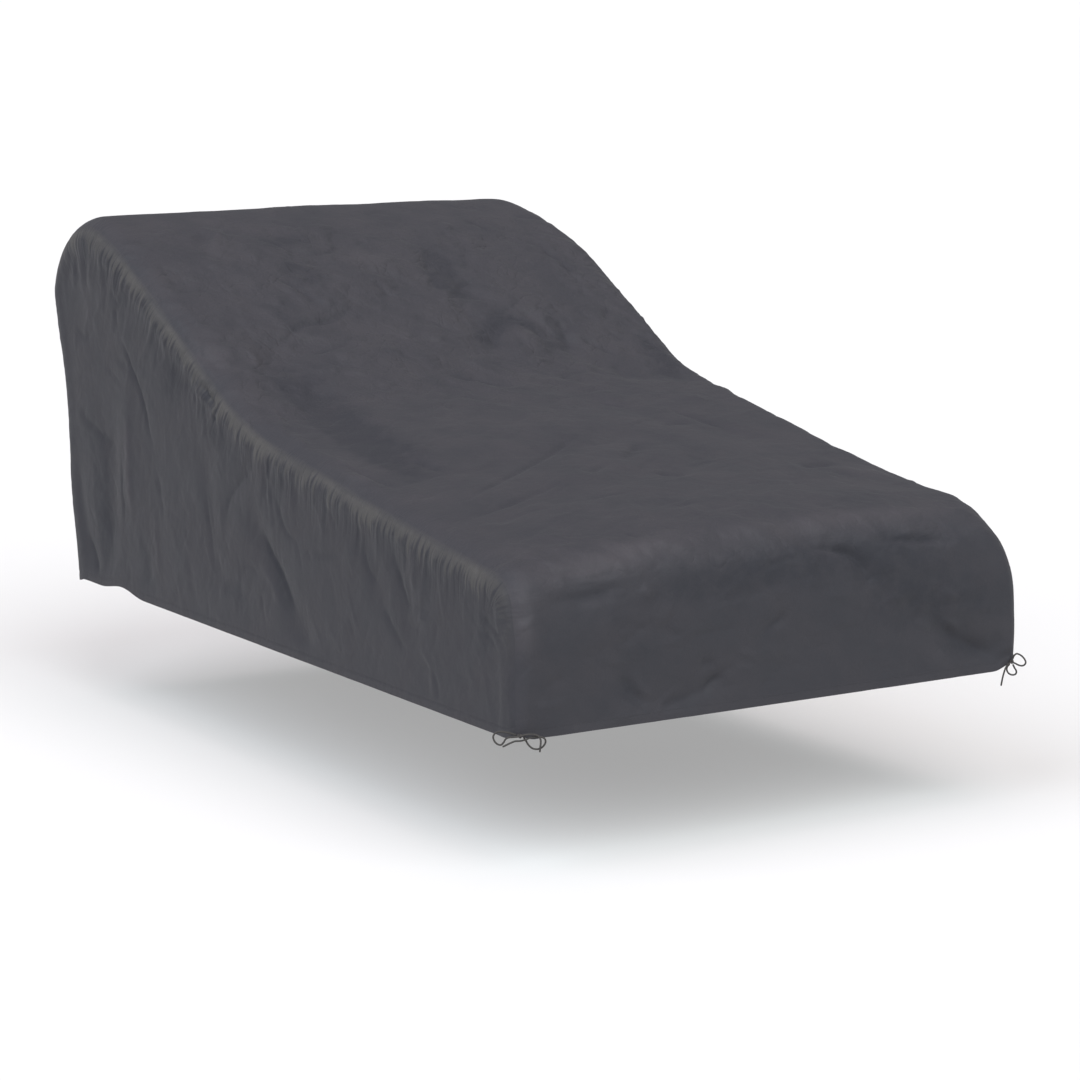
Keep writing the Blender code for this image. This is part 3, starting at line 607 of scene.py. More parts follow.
def strip_grid():
    """Base points, normals and coordinates of the strip: x laid flat, run, distance to a seam."""
    run, last = [np.zeros(1)], 0.0
    for until, cell in CELLS:
        until = min(until, RUN_END)
        count = int(round((until - last) / cell / INNER_STEP)) * INNER_STEP
        run.append(np.linspace(last, until, count + 1)[1:])
        last = until
    run = np.concatenate(run)
    st = {k: np.interp(run, OUTLINE["run"], v)[:, None] for k, v in OUTLINE.items()}
    halves = []
    for k in "lr":
        r, half, fall = (st[c + k] for c in ("edge_", "half_", "fall_"))
        p = np.linspace(0, 1, FLAT_CELLS + 1)[None, :]
        q = np.linspace(0, 1, ARC_CELLS + 1)[None, 1:]
        x = p * (half - r)
        n, lean = crown(x, fall, half)
        flat = (x, n, lean / np.hypot(1, lean), 1 / np.hypot(1, lean), x)
        n, lean = crown(half - r, fall, half)
        lean = np.arctan(lean)
        a = lean + (SEAM_ANGLE - lean) * q
        x = half - r + r * np.sin(a) - r * np.sin(lean) * (1 - q)
        arc = (x, n - r * (np.cos(lean) - np.cos(a)), np.sin(a), np.cos(a), half - r + r * (a - lean))
        halves.append([np.hstack(pair) for pair in zip(flat, arc)])
    x, n, dx, dn, laid = (np.hstack([left[:, :0:-1], right]) for left, right in zip(*halves))
    middle = x.shape[1] // 2
    signs = np.where(np.arange(x.shape[1]) < middle, -1.0, 1.0)[None, :]
    y, h = st["y"] + n * st["ny"], st["h"] + n * st["nh"]
    normal = np.stack([signs * dx, dn * st["ny"], dn * st["nh"]], axis=-1)

    def by_side(left, right):
        return np.where(signs < 0, left, right)

    inset = by_side(st["half_l"], st["half_r"]) - x
    end = by_side(laid[:, :1], laid[:, -1:])
    s = [np.interp(run, OUTLINE["run"], SEAMS[side]["s"])[:, None] for side in (-1, 1)]
    runs = np.broadcast_to(run[:, None], x.shape)
    return {"x": signs * x, "y": y, "h": h, "normal": normal, "a": signs * laid, "b": runs,
            "lift": by_side(hem_shift(-1, inset, y, h), hem_shift(1, inset, y, h)),
            "seam": end - laid, "band": laid - end, "s": by_side(*s),
            "side": np.broadcast_to(signs, x.shape), "hem": np.minimum(runs, RUN_END - runs),
            "rough": np.interp(runs, *zip(*ROUGHNESS)), "gathered": gathered(runs)}


def side_grid(side):
    """The same of a side panel: y, h, distance to the seam and place along it."""
    line = SEAMS[side]
    a = np.searchsorted(OUTLINE["run"], PLACE_RUN["front edge"] - 1e-9)
    b = np.searchsorted(OUTLINE["run"], PLACE_RUN["rear corner"] - 1e-9)

    def even(part, count):
        s = line["s"][part]
        want = np.linspace(s[0], s[-1], count + 1)
        return np.stack([np.interp(want, line["s"], line[k]) for k in ("y", "h", "half")], axis=-1)

    front = even(slice(0, a + 1), SIDE_ROWS)
    top = even(slice(a, b + 1), SIDE_COLS)
    rear = even(slice(b, len(line["s"])), SIDE_ROWS)[::-1]
    u = np.linspace(0, 1, SIDE_COLS + 1)[None, :, None]
    v = np.linspace(0, 1, SIDE_ROWS + 1)[:, None, None]
    hem = front[0] * (1 - u[0]) + rear[0] * u[0]
    grid = (front[:, None] * (1 - u) + rear[:, None] * u + hem[None] * (1 - v) + top[None] * v
            - hem[None, :1] * (1 - u) * (1 - v) - hem[None, -1:] * u * (1 - v)
            - top[None, :1] * (1 - u) * v - top[None, -1:] * u * v)
    y, h, half = grid[..., 0], grid[..., 1], grid[..., 2]
    seam, s = nearest_on_line(y, h, line)
    radius = np.interp(s, line["s"], line["edge"])
    reach = radius * math.cos(SEAM_ANGLE)
    drop = radius - np.sqrt(np.maximum(radius ** 2 - np.maximum(reach - seam, 0.0) ** 2, 0.0))
    x = half - np.where(seam < reach, drop, 0.0)
    points = np.stack([side * x, y, h], axis=-1)
    normal = np.cross(np.gradient(points, axis=1), np.gradient(points, axis=0))
    normal *= side * np.sign(normal[..., :1]) / np.linalg.norm(normal, axis=-1, keepdims=True)
    return {"x": side * x, "y": y, "h": h, "lift": hem_shift(side, 0.0, y, h), "normal": normal, "a": y,
            "b": h, "seam": seam, "band": seam, "s": s, "side": np.full(y.shape, side), "hem": h,
            "rough": np.full(y.shape, SIDE_ROUGHNESS),
            "gathered": gathered(np.interp(s, line["s"], OUTLINE["run"]))}


def nearest_on_line(y, h, line):
    """Distance to the seam and the place along it, for many points at once."""
    best, place = np.full(y.shape, 1e9), np.zeros(y.shape)
    ly, lh, s = line["y"][::3], line["h"][::3], line["s"][::3]
    for k in range(len(ly) - 1):
        dy, dh = ly[k + 1] - ly[k], lh[k + 1] - lh[k]
        t = np.clip(((y - ly[k]) * dy + (h - lh[k]) * dh) / (dy * dy + dh * dh), 0, 1)
        d = np.hypot(y - ly[k] - t * dy, h - lh[k] - t * dh)
        closer = d < best
        best = np.where(closer, d, best)
        place = np.where(closer, s[k] + t * (s[k + 1] - s[k]), place)
    return best, place


# ---------- relief of each panel
def gathers(side, seed):
    """Puckers along a seam: place, width, height, slant, and reach on the strip and on the side."""
    rng = random.Random(seed)
    line, out, s = SEAMS[side], [], 0.0
    while s < line["s"][-1]:
        scale = float(np.interp(np.interp(s, line["s"], OUTLINE["run"]), *zip(*GATHER_HEIGHT)))
        height = rng.choice((-1, 1, 1)) * rng.uniform(0.0005, 0.0013) * scale
        long = rng.random() < 0.25
        out.append((s, rng.uniform(0.0026, 0.0046), height, rng.uniform(-0.35, 0.35),
                    rng.uniform(0.022, 0.040) if long else rng.uniform(0.009, 0.020),
                    rng.uniform(0.050, 0.110) if long else rng.uniform(0.014, 0.040)))
        s += rng.uniform(0.0055, 0.0105)
    return out


GATHERS = {-1: gathers(-1, 11), 1: gathers(1, 12)}


def gather_relief(grid, on_strip):
    """The gathers of both seams on the strip, or of one seam on a side; the two panels meet in them."""
    apart = 10.0
    field = Relief(grid["s"] + apart * (grid["side"] > 0), grid["seam"])
    for side, shift in ((-1, 0.0), (1, apart)):
        for s, width, height, slant, reach_strip, reach_side in GATHERS[side]:
            field.pucker(s + shift, width, reach_strip if on_strip else reach_side, height, slant)
    return field.z.reshape(grid["s"].shape) * smooth(grid["seam"] / 0.010) * (0.5 if on_strip else 1.0)


def edges(grid):
    """The turned hem, a little thicker, with its stitched line, and the cloth's rise at the seam."""
    band = 0.0004 * (1 - smooth((grid["hem"] - HEM_BAND + 0.001) / 0.002))
    line = -0.0005 * np.exp(-((grid["hem"] - HEM_BAND) / 0.0020) ** 2)
    return band + line + 0.0006 * (1 - smooth(grid["seam"] / 0.018))


def crumples(grid, size, seed):
    """The cloth's broad unevenness and its nets of facets; and the lean of the two coarser nets."""
    a, b = grid["a"], grid["b"]
    patchy = smooth(0.5 + 1.2 * blotches(a, b, PATCHES[0] * size, PATCHES[1] * size, seed + 4))
    total, leans = 0.0, []
    for k, (cell_a, cell_b, height, least) in enumerate(CRUMPLES):
        net, lean = facets(a, b, cell_a * size, cell_b * size, seed + 1 + k)
        total = total + (least + (1 - least) * patchy) * height * net
        leans.append(lean)
    broad = BROAD[2] * blotches(a, b, BROAD[0] * size, BROAD[1] * size, seed)
    return broad + grid["rough"] * total, leans[0] + leans[1]


def panel_relief(grid, folds, places, fine, scatter, shares, size, seed, swell, on_strip):
    """All heights of a panel above its base surface. Its painted shading is set on the way, paler above 0
    and
    darker below: painted shade and highlight in the listed places, painted shade in the creases' troughs
    and painted highlight on their ridges, painted light on the facets that lean towards the lights and
    painted shade on those that lean away.
    fine: the panel's creases; scatter adds the random ones. shares: how much of the depth of the folds
    and of the creases is drawn. size, seed: of the crumples."""
    a, b, seam, hem = (grid[key] for key in ("a", "b", "seam", "hem"))
    uneven, lean = crumples(grid, size, seed)
    painted_shading = Relief(a, b)
    crease_relief(painted_shading, places, depths=100)
    # painted shade in the creases' troughs, painted highlight on their ridges
    painted_shading.z += np.clip(CREASE_SHADE * fine.z, *SHADE_RANGE)
    # painted light on facets leaning towards the lights, painted shade on those leaning away
    lean = (LEAN_PAINTED_LIGHT + ROUGH_LEAN_PAINTED_LIGHT * np.minimum(grid["rough"], ROUGH_MOST)) * lean
    grid["painted_shading"] = painted_shading.z.reshape(a.shape) + lean
    scatter(fine)
    main = Relief(a, b)
    fold_relief(main, folds)
    fade = smooth((seam - SEAM_EDGE) / SEAM_FADE) * smooth(hem / HEM_FADE)
    z = shares[0] * main.z.reshape(a.shape) * fade
    z += shares[1] * fine.z.reshape(a.shape) * smooth(seam / 0.012)
    z += uneven * smooth(seam / 0.020) * (0.3 + 0.7 * smooth(hem / 0.03))
    z += swell * np.exp(-((seam - 0.025) / 0.014) ** 2)
    return z + gather_relief(grid, on_strip) + edges(grid)


# ---------- closed sheets
def points_at(grid, height):
    """Points of a panel at a height above its base surface, in the frame's metres."""
    p = np.stack([grid["x"], grid["y"] - SEAT_Y, grid["h"] + grid["lift"] - SEAT_H], axis=-1)
    return p + grid["normal"] * height[..., None]


def lowest_around(z):
    """Each point's lowest neighbour within the inner face's cells."""
    for axis in (0, 1):
        pad = np.pad(z, [(INNER_STEP, INNER_STEP) if k == axis else (0, 0) for k in (0, 1)], mode="edge")
        n = z.shape[axis]
        z = np.min([np.take(pad, range(k, k + n), axis=axis) for k in range(2 * INNER_STEP + 1)], axis=0)
    return z


def add_piece(name, mesh, material, replaced):
    mesh.materials.append(material)
    piece = bpy.data.objects.new(name, mesh)
    bpy.context.scene.collection.objects.link(piece)
    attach(piece, "root")
    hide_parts(replaced)
    return piece


def store(mesh, name, values, kind="FLOAT", domain="POINT"):
    mesh.attributes.new(name, kind, domain).data.foreach_set("value", values)


def sheet(name, replaced, grid, relief, material):
    """A closed thin sheet: the fine outer face, an inner face of every fourth point, and the rim.
    The outer face's border is marked sharp, so that the rim doesn't shade it."""
    step = INNER_STEP
    outer = points_at(grid, relief)
    coarse = {k: v[::step, ::step] for k, v in grid.items()}
    inner = points_at(coarse, lowest_around(relief)[::step, ::step] - CLOTH)
    rows, cols = relief.shape
    low_rows, low_cols = inner.shape[:2]
    first = rows * cols
    turn = -1 if grid["side"].max() < 0 else 1

    def faces_of(n_rows, n_cols, start, order):
        i, j = np.meshgrid(np.arange(n_rows - 1), np.arange(n_cols - 1), indexing="ij")
        a = start + i * n_cols + j
        quad = np.stack([a, a + 1, a + 1 + n_cols, a + n_cols], axis=-1).reshape(-1, 4)
        return quad[:, ::order].tolist()

    faces = faces_of(rows, cols, 0, turn) + faces_of(low_rows, low_cols, first, -turn)
    smooth_faces = len(faces)
    border = [(0, j) for j in range(low_cols - 1)] + [(i, low_cols - 1) for i in range(low_rows - 1)]
    border += [(low_rows - 1, j) for j in range(low_cols - 1, 0, -1)]
    border += [(i, 0) for i in range(low_rows - 1, 0, -1)]
    for (i, j), (m, n) in zip(border, border[1:] + border[:1]):
        rim = [(step * i + (m - i) * t) * cols + step * j + (n - j) * t for t in range(step, -1, -1)]
        faces.append(([first + i * low_cols + j, first + m * low_cols + n] + rim)[::turn])
    mesh = bpy.data.meshes.new(name)
    mesh.from_pydata(np.vstack([outer.reshape(-1, 3), inner.reshape(-1, 3)]).tolist(), [], faces)
    for key in CLOTH_KEYS:
        store(mesh, "cloth_" + key, np.float32(np.concatenate([grid[key].ravel(), coarse[key].ravel()])))
    mesh.polygons.foreach_set("use_smooth", [k < smooth_faces for k in range(len(faces))])
    mesh.update()
    ends = np.zeros(2 * len(mesh.edges), np.int32)
    mesh.edges.foreach_get("vertices", ends)
    i, j = ends // cols, ends % cols
    outermost = (ends < first) & ((i == 0) | (i == rows - 1) | (j == 0) | (j == cols - 1))
    store(mesh, "sharp_edge", outermost.reshape(-1, 2).all(axis=1), "BOOLEAN", "EDGE")
    return add_piece(name, mesh, material, replaced)


# ---------- corner ties
KNOTS = {  # place, then width, height and depth, then the way the bow faces
    "left":  ((-0.4374,  0.0006, 0.0075), (0.0080, 0.0068, 0.0068), (-0.528, -0.849)),
    "right": (( 0.4371, -0.0030, 0.0125), (0.0072, 0.0068, 0.0068), (-0.645, -0.764)),
}
ROUTES = {               # points in millimetres from the knot: right, up, outwards
    "left_loop_a": (
        (-4.6, 1.3, 0.4), (-10, 3, 0.6), (-17, 5, 0.4), (-25, 6.2, 0), (-31.5, 5.4, 0), (-35.6, 2.4, 0),
        (-36.9, -2, 0), (-35, -7.6, 0), (-30.8, -11.6, 0), (-26, -12.4, 0), (-22.6, -9, 0.2),
        (-19.8, -4.2, 1), (-15.6, -1.6, 2.4), (-8.6, -0.6, 4.2), (-1, 0.6, 5.2), (7, 2.6, 4.4),
        (16, 3.2, 3.4), (24, 1.6, 3.4), (28.2, -3.6, 3.6), (28.6, -10, 3.4), (27.8, -16, 3.2),
        (27.4, -22.4, 3.2),
    ),
    "left_loop_b": (
        (4.7, -1.5, 0.2), (8.2, -6.6, 0.2), (12, -13, 0), (17.6, -17.6, 0), (24.2, -18.6, 0),
        (29.6, -16.6, 0), (33.6, -12.6, 0), (35.4, -7.8, 0), (33.6, -3.4, 0), (28.6, -1.6, -0.2),
        (21, -1.2, 0.4), (13.6, -2.2, 2.4), (7.4, -4.4, 3.8), (0.4, -6.2, 3.4), (-6.6, -6.6, 3.6),
        (-12.8, -8.8, 4), (-18.6, -11.8, 3.6), (-24.2, -14.6, 3.4),
    ),
    "right_loop_a": (
        (1.5, 4.2, 0.2), (3.4, 9.2, 0.2), (6.9, 12.4, 0), (11.6, 11.4, 0), (16.2, 8.2, 0),
        (19.8, 3.6, 0), (21.2, -1, 0), (18.8, -4.8, 0), (14.4, -5.8, 0.2), (9.6, -4.2, 1.6),
        (5, -1.4, 4), (0, 0, 5.4), (-5, -2.6, 5.2), (-8.8, -9, 5), (-11.2, -17, 4.8), (-13.2, -26, 4.8),
        (-15, -37, 4.8),
    ),
    "right_loop_b": (
        (1.8, -3.7, 0), (4.6, -9.4, 0), (7.4, -14.2, 0), (6.6, -18.8, 0), (2, -20.4, 0),
        (-3.4, -18.6, 0), (-6.6, -13.8, 0), (-6.4, -8.4, -0.4), (-2.6, -3.7, -0.4),
    ),
}
CORD_STEP = 0.0009  # length of a mesh ring on a cord
CORD_SIDES = 12
BRAID = 0.0042  # length in which a strand of the braid goes once round


def tie_frame(side):
    """A knot's middle, its three directions and its size."""
    (x, y, h), size, (fx, fy) = KNOTS[side]
    out = Vector((fx, fy, 0.0)).normalized()
    return Vector((x, y - SEAT_Y, h - SEAT_H)), Vector((-out.y, out.x, 0.0)), Vector((0, 0, 1)), out, size


def tube(name, lines, radius, closed=False):
    """Round tubes along lines of points, with their run and their turn stored for the braid."""
    points, faces, runs, turns = [], [], [], []
    for line in lines:
        n, run = len(line), run_of(line)
        ahead = (np.roll(line, -1, axis=0) - np.roll(line, 1, axis=0) if closed
                 else np.gradient(line, axis=0))
        ahead /= np.linalg.norm(ahead, axis=1, keepdims=True)
        across = np.cross(ahead[0], (0.0, 0.0, 1.0) if abs(ahead[0][2]) < 0.9 else (1.0, 0.0, 0.0))
        first = len(points)
        for k in range(n):
            across = across - ahead[k] * across.dot(ahead[k])
            across /= np.linalg.norm(across)
            other = np.cross(ahead[k], across)
            to_end = radius if closed else min(run[k], run[-1] - run[k])
            r = radius * math.sqrt(max(1 - (1 - min(to_end / radius, 1.0)) ** 2, 0.10))
            for m in range(CORD_SIDES):
                a = 2 * math.pi * m / CORD_SIDES
                points.append(line[k] + r * (math.cos(a) * across + math.sin(a) * other))
                runs.append(run[k])
                turns.append(a)
        for k in range(n if closed else n - 1):
            a, b = first + k * CORD_SIDES, first + (k + 1) % n * CORD_SIDES
            for m in range(CORD_SIDES):
                after = (m + 1) % CORD_SIDES
                faces.append((a + m, a + after, b + after, b + m))
        if not closed:
            faces.append(tuple(first + m for m in range(CORD_SIDES - 1, -1, -1)))
            faces.append(tuple(first + (n - 1) * CORD_SIDES + m for m in range(CORD_SIDES)))
    mesh = bpy.data.meshes.new(name)
    mesh.from_pydata([tuple(p) for p in points], [], faces)
    for key, values in (("run", runs), ("cos", np.cos(turns)), ("sin", np.sin(turns))):
        store(mesh, "cord_" + key, np.float32(values))
    mesh.shade_smooth()
    return mesh


def knot(side, material):
    """The crossing of a bow: the cord wound round itself, pulled tight."""
    centre, right, up, out, size = tie_frame(side)
    half = [(s - CORD) / 2 for s in size]
    t = np.linspace(0, 2 * math.pi, 90, endpoint=False)
    u = np.linspace(0, 2 * math.pi, 60, endpoint=False)
    shapes = (
        ((np.sin(t) + 2 * np.sin(2 * t)) / 3, (np.cos(t) - 2 * np.cos(2 * t)) / 3, -np.sin(3 * t)),
        (0.30 * np.sin(u), np.cos(u), np.sin(u)),
        (0.7 * np.cos(u), 0.25 * np.sin(u), 0 * u),
    )
    axes = np.array([right * half[0], up * half[1], out * half[2]])
    lines = [np.array(centre) + np.stack(shape, axis=-1) @ axes for shape in shapes]
    name = "tie_%s_wrap" % side
    add_piece(name, tube(name, lines, CORD / 2, closed=True), material, "tie_%s_knot" % side)


def tie(side, ends, material):
    knot(side, material)
    centre, right, up, out, _ = tie_frame(side)
    for loop, far_end in ends:
        route = ROUTES["%s_loop_%s" % (side, loop)]
        line = curve([centre + (right * u + up * w + out * f) / 1000 for u, w, f in route], 12)
        run = run_of(line)
        want = np.linspace(0.0, run[-1], int(run[-1] / CORD_STEP) + 1)
        line = np.stack([np.interp(want, run, line[:, k]) for k in range(3)], axis=-1)
        name = "tie_%s_bow_%s" % (side, loop)
        replaced = "tie_%s_cord_%s" % (side, loop)
        piece = add_piece(name, tube(name, [line], CORD / 2), material, replaced)


# ---------- materials
class Graph:
    """A new material, and short ways to add and join its nodes."""

    def __init__(self, name):
        self.material = bpy.data.materials.new(name)
        self.material.use_nodes = True
        self.nodes, self.links = self.material.node_tree.nodes, self.material.node_tree.links
        self.bsdf = self.nodes["Principled BSDF"]

    def join(self, value, socket):
        if isinstance(value, bpy.types.NodeSocket):
            self.links.new(value, socket)
        else:
            socket.default_value = value

    def node(self, kind, values, sockets=None, out=0, **settings):
        """A node's output. The values go to the named sockets, or else to the first ones."""
        node = self.nodes.new("ShaderNode" + kind)
        for key, value in settings.items():
            setattr(node, key, value)
        for k, value in zip(sockets or range(len(values)), values):
            self.join(value, node.inputs[k])
        return node.outputs[out]

    def shader(self, **values):
        for key, value in values.items():
            self.join(value, self.bsdf.inputs[key.replace("_", " ")])

    def attribute(self, name):
        return self.node("Attribute", (), out="Fac", attribute_name=name)

    def math(self, kind, *values):
        return self.node("Math", values, operation=kind)

    def mul(self, first, *others):
        for other in others:
            first = self.math("MULTIPLY", first, other)
        return first

    def sub(self, a, b):
        return self.math("SUBTRACT", a, b)

    def exp(self, value, rate):
        return self.math("EXPONENT", self.mul(value, rate))

    def vector(self, *values):
        return self.node("CombineXYZ", values)

    def noise(self, vector, scale, detail, rough, kind="FBM"):
        return self.node("TexNoise", (vector, scale, detail, rough),
                         ("Vector", "Scale", "Detail", "Roughness"), "Fac", noise_type=kind, normalize=True)

    def thin_lines(self, vector, scale, sharp):
        """1 along thin winding lines, falling off to both sides."""
        return self.exp(self.math("ABSOLUTE", self.sub(self.noise(vector, scale, 1.0, 0.4), 0.5)), -sharp)

    def ramp(self, value, low, high, to_low=0.0, to_high=1.0):
        return self.node("MapRange", (value, low, high, to_low, to_high))

    def blend(self, amount, a, b):
        return self.node("Mix", (amount, a, b), (0, 6, 7), 2, data_type="RGBA")

    def bumps(self, *layers):
        """Bumps one upon another: each a height, and the distance for a height of 1."""
        normal = None
        for height, distance in layers:
            values = (distance, height) if normal is None else (distance, height, normal)
            normal = self.node("Bump", values, ("Distance", "Height", "Normal"))
        return normal


CLOTH_DARK = (0.0268, 0.0280, 0.0345, 1.0)
CLOTH_LIGHT = (0.0385, 0.0366, 0.0424, 1.0)
# painted sheen, the highlight on the gathered seam band
CLOTH_PAINTED_SHEEN = (0.0655, 0.0630, 0.0615, 1.0)
# painted highlight, for ridges, facets facing the lights and the paler places
CLOTH_PAINTED_HIGHLIGHT = (0.0590, 0.0545, 0.0610, 1.0)
# painted shade, for the hollows between gathers, crease troughs and shaded places
CLOTH_PAINTED_SHADE = (0.0180, 0.0194, 0.0256, 1.0)
# painted shade for the braid's grooves, painted highlight for the strands' crowns
CORD_GROOVE_SHADE, CORD_CROWN_HIGHLIGHT = (0.020, 0.019, 0.020, 1.0), (0.075, 0.070, 0.066, 1.0)
WEAVE = 0.00085  # distance between the threads of the weave
CLOTH_KEYS = ("a", "b", "s", "band", "hem", "rough", "gathered", "painted_shading")  # stored on the sheets


def cloth_material():
    """A tight coated weave: crumpled, gathered finely along its seams, with a stitched hem."""
    g = Graph("coated_cloth_fine")
    a, b, s, band, hem, rough, gathers_here, painted_shading = (g.attribute("cloth_" + key) for key in CLOTH_KEYS)
    flat = g.vector(a, b)
    seam = g.math("ABSOLUTE", band)
    # fine gathers running off the seam, on it and hanging from it, and how far they reach here
    streak = g.noise(g.vector(g.mul(s, 160.0), g.mul(seam, 16.0)), 1.0, 1.0, 0.5)
    comb = g.noise(g.vector(g.mul(s, 130.0), g.mul(band, 9.0)), 1.0, 1.5, 0.5)
    uneven = g.noise(g.vector(g.mul(s, 14.0)), 1.0, 2.0, 0.5)
    # colour: faint clouds, paler at the hem
    clouds = g.noise(flat, 11.0, 4.0, 0.55)
    grain = g.noise(flat, 420.0, 2.0, 0.6)
    amount = g.math("ADD", g.ramp(clouds, 0.35, 0.65, 0.28, 0.72), g.ramp(grain, 0.3, 0.7, -0.12, 0.12))
    amount = g.math("ADD", amount, g.ramp(hem, 0.0, 0.016, 0.25, 0.0))
    colour = g.blend(amount, CLOTH_DARK, CLOTH_LIGHT)
    # painted shade between the hanging gathers, in the creases' troughs and in the darker places; painted
    # highlight on ridges, on facets leaning to the lights and in the paler places
    ragged = g.mul(painted_shading, g.ramp(g.noise(flat, 38.0, 3.0, 0.6), 0.35, 0.65, 0.6, 1.4))
    # painted shade: cloth shadows between the hanging gathers under the seam band
    below = g.mul(g.ramp(band, 0.010, 0.022), g.ramp(band, 0.045, 0.085, 0.7, 0.0))
    below = g.mul(below, gathers_here, g.ramp(comb, 0.47, 0.36))
    painted_shade_amount = g.math("MAXIMUM", below, g.ramp(ragged, -0.04, -0.44, 0.0, 0.55))
    colour = g.blend(painted_shade_amount, colour, CLOTH_PAINTED_SHADE)
    colour = g.blend(g.ramp(painted_shading, 0.0, 0.8, 0.0, 0.52), colour, CLOTH_PAINTED_HIGHLIGHT)
    # painted sheen: a highlight along the gathered seam band, from the seam down to an uneven lower edge
    until = g.math("ADD", g.ramp(uneven, 0.3, 0.7, 0.010, 0.028), g.ramp(comb, 0.25, 0.75, -0.024, 0.024))
    lower = g.ramp(g.sub(band, until), -0.005, 0.007, 1.0, 0.0)
    seam_sheen = g.mul(g.ramp(band, -0.004, 0.006), lower, g.ramp(clouds, 0.3, 0.7, 0.5, 1.0), gathers_here)
    # bump: crumples, creases and fine wrinkles, the gathers, the weave and the hem's stitches
    crumple = g.mul(rough, g.noise(flat, 24.0, 3.0, 0.45, "RIDGED_MULTIFRACTAL"))
    crease = g.math("ADD", g.thin_lines(flat, 13.0, 34.0), g.thin_lines(g.vector(b, a), 27.0, 20.0))
    crease = g.mul(crease, rough, g.ramp(g.noise(flat, 11.0, 2.0, 0.5), 0.42, 0.56))
    wrinkle = g.mul(g.noise(flat, 95.0, 3.0, 0.5), g.ramp(rough, 0.5, 2.0, 0.8, 2.0))
    streak = g.mul(g.sub(streak, 0.5), g.mul(gathers_here, g.exp(seam, -38.0)))
    hang = g.mul(g.sub(comb, 0.5), g.exp(seam, -15.0), g.ramp(band, 0.0, 0.012),
                 g.ramp(band, 0.04, 0.10, 1.0, 0.0), gathers_here)
    threads = [g.math("SINE", g.mul(axis, 2 * math.pi / WEAVE)) for axis in (a, b)]
    from_line = g.math("ABSOLUTE", g.sub(hem, HEM_BAND))
    along = g.math("FRACT", g.math("DIVIDE", g.math("ADD", a, b), STITCH))
    stitch = g.mul(g.math("LESS_THAN", from_line, 0.0006), g.math("LESS_THAN", along, 0.72))
    g.shader(Base_Color=g.blend(seam_sheen, colour, CLOTH_PAINTED_SHEEN),
             Roughness=g.ramp(clouds, 0.3, 0.7, 0.60, 0.70),
             Specular_IOR_Level=0.22, Sheen_Weight=0.06, Sheen_Roughness=0.5,
             Normal=g.bumps((crumple, 0.0022), (crease, -0.00045), (wrinkle, 0.00070), (streak, 0.0020),
                            (hang, 0.0032), (g.mul(*threads), 0.00002), (stitch, 0.0003)))
    return g.material


def cord_material():
    """A fine round braid."""
    g = Graph("braided_cord_fine")
    run = g.mul(g.attribute("cord_run"), 2 * math.pi / BRAID)
    turn = g.mul(g.math("ARCTAN2", g.attribute("cord_sin"), g.attribute("cord_cos")), 4.0)
    ways = [g.math("SINE", g.math(kind, turn, g.mul(run, 4.0))) for kind in ("ADD", "SUBTRACT")]
    strands = g.math("MAXIMUM", *ways)
    # painted shade in the grooves between strands and painted highlight on their crowns
    g.shader(Base_Color=g.blend(g.ramp(strands, -0.6, 1.0), CORD_GROOVE_SHADE, CORD_CROWN_HIGHLIGHT),
             Roughness=g.ramp(strands, -1.0, 1.0, 0.9, 0.7), Specular_IOR_Level=0.3,
             Normal=g.bumps((strands, 0.00018)))
    return g.material


# ---------- stage: floor, camera, lights
FLOOR_COLOUR, FLOOR_GLOW = 0.45, 0.36
CAMERA_PLACE = (-2.8038, -4.4296, 0.7404)
CAMERA_TURN, CAMERA_PITCH = math.radians(-32.196), math.radians(10.08)
LENS, SENSOR = 111.32, 36.0
WORLD_LIGHT = 0.15
SUNS = (  # name, the way to it, strength, spread in degrees, colour
    ("top_light", (0.0, 0.0, 1.0), 0.55, 50, (1.40, 1.0, 1.0)),
    ("front_light", (0.0, -0.7, 0.7), 2.95, 50, (0.945, 0.99, 1.0)),
    ("left_light", (-0.7, 0.0, 0.7), 2.20, 50, (0.93, 0.985, 1.05)),
)


def stage():
    """A plain white light table for a floor."""
    bpy.ops.mesh.primitive_plane_add(size=400, location=(0, 0, -SEAT_H - FLOOR_BELOW_HEM))
    floor = bpy.context.object
    floor.name = "floor"
    g = Graph("pale_floor")
    g.shader(Base_Color=(FLOOR_COLOUR, FLOOR_COLOUR, FLOOR_COLOUR, 1), Roughness=0.9,
             Specular_IOR_Level=0.0, Emission_Color=(1, 1, 1, 1), Emission_Strength=FLOOR_GLOW)
    floor.data.materials.append(g.material)


def aimed(name, data, towards, axis):
    item = bpy.data.objects.new(name, data)
    item.rotation_mode = "QUATERNION"
    item.rotation_quaternion = towards.to_track_quat(axis, "Y")
    bpy.context.scene.collection.objects.link(item)
    return item


def camera():
    data = bpy.data.cameras.new("view")
    data.lens, data.sensor_width, data.clip_end = LENS, SENSOR, 500.0
    back = Vector((math.sin(CAMERA_TURN) * math.cos(CAMERA_PITCH),
                   -math.cos(CAMERA_TURN) * math.cos(CAMERA_PITCH), math.sin(CAMERA_PITCH)))
    cam = aimed("view", data, -back, "-Z")
    cam.location = CAMERA_PLACE
    bpy.context.scene.camera = cam


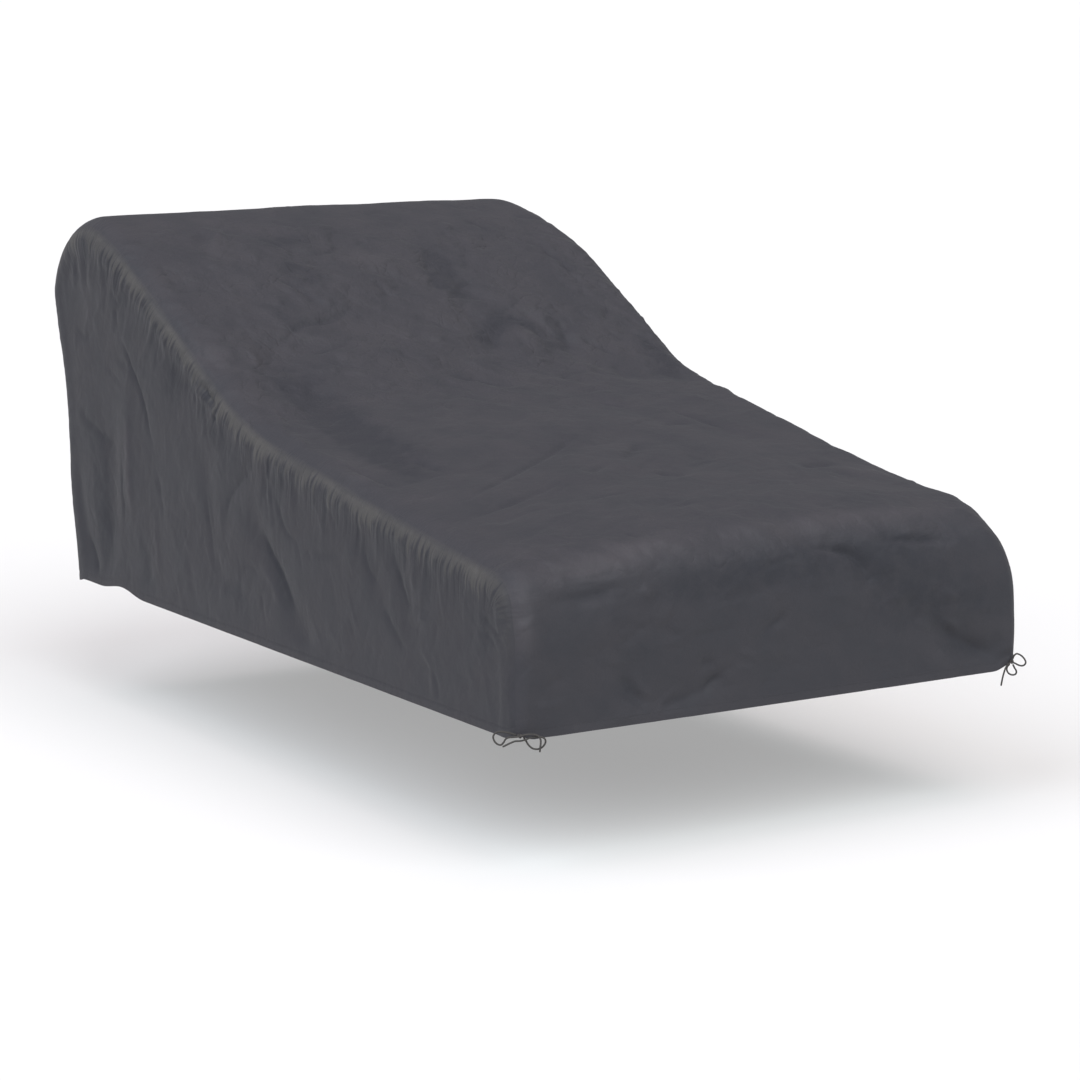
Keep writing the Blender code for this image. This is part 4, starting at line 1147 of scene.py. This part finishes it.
def lights():
    world = bpy.data.worlds.new("studio")
    world.use_nodes = True
    background = world.node_tree.nodes["Background"].inputs
    background["Color"].default_value, background["Strength"].default_value = (1, 1, 1, 1), WORLD_LIGHT
    bpy.context.scene.world = world
    for name, towards, strength, spread, colour in SUNS:
        data = bpy.data.lights.new(name, "SUN")
        data.energy, data.angle, data.color = strength, math.radians(spread), colour
        aimed(name, data, Vector(towards), "Z")
    bpy.context.scene.view_settings.view_transform = "Standard"


# ---------- build
def strip(cloth):
    grid = strip_grid()
    fine = Relief(grid["a"], grid["b"])
    crease_relief(fine, TOP_CREASES, at=lambda x, y: (x, run_at_y(y)))
    crease_relief(fine, FRONT_CREASES)
    crease_relief(fine, REAR_CREASES)

    def scatter(relief):
        strokes(relief, random.Random(3), STRIP_STROKES)

    relief = panel_relief(grid, STRIP_FOLDS, STRIP_PAINTED_SHADING, fine, scatter, shares=(1.0, STRIP_FINE),
                          size=1.0, seed=21, swell=0.0, on_strip=True)
    piece = sheet("cover_strip", "panel_strip", grid, relief, cloth)


def side_panel(name, side, folds, creases, places, cloth):
    grid = side_grid(side)
    fine = Relief(grid["a"], grid["b"])
    crease_relief(fine, creases)

    def scatter(relief):
        rng = random.Random(5 + side)
        hanging_creases(relief, rng, side)
        strokes(relief, rng, SIDE_STROKES)

    relief = panel_relief(grid, folds, places, fine, scatter, shares=(SIDE_FOLD, SIDE_FINE),
                          size=0.8, seed=35 + side, swell=SIDE_SWELL, on_strip=False)
    piece = sheet("cover_side_" + name, "panel_side_" + name, grid, relief, cloth)


stage()
camera()
lights()
CORD_MATERIAL = cord_material()
tie("left", (("a", "bare"), ("b", "bare")), CORD_MATERIAL)
tie("right", (("a", "bare"), ("b", "object")), CORD_MATERIAL)
CLOTH_MATERIAL = cloth_material()
strip(CLOTH_MATERIAL)
side_panel("left", -1, LEFT_FOLDS, LEFT_CREASES, LEFT_PAINTED_SHADING, CLOTH_MATERIAL)
side_panel("right", 1, RIGHT_FOLDS, RIGHT_CREASES, (), CLOTH_MATERIAL)
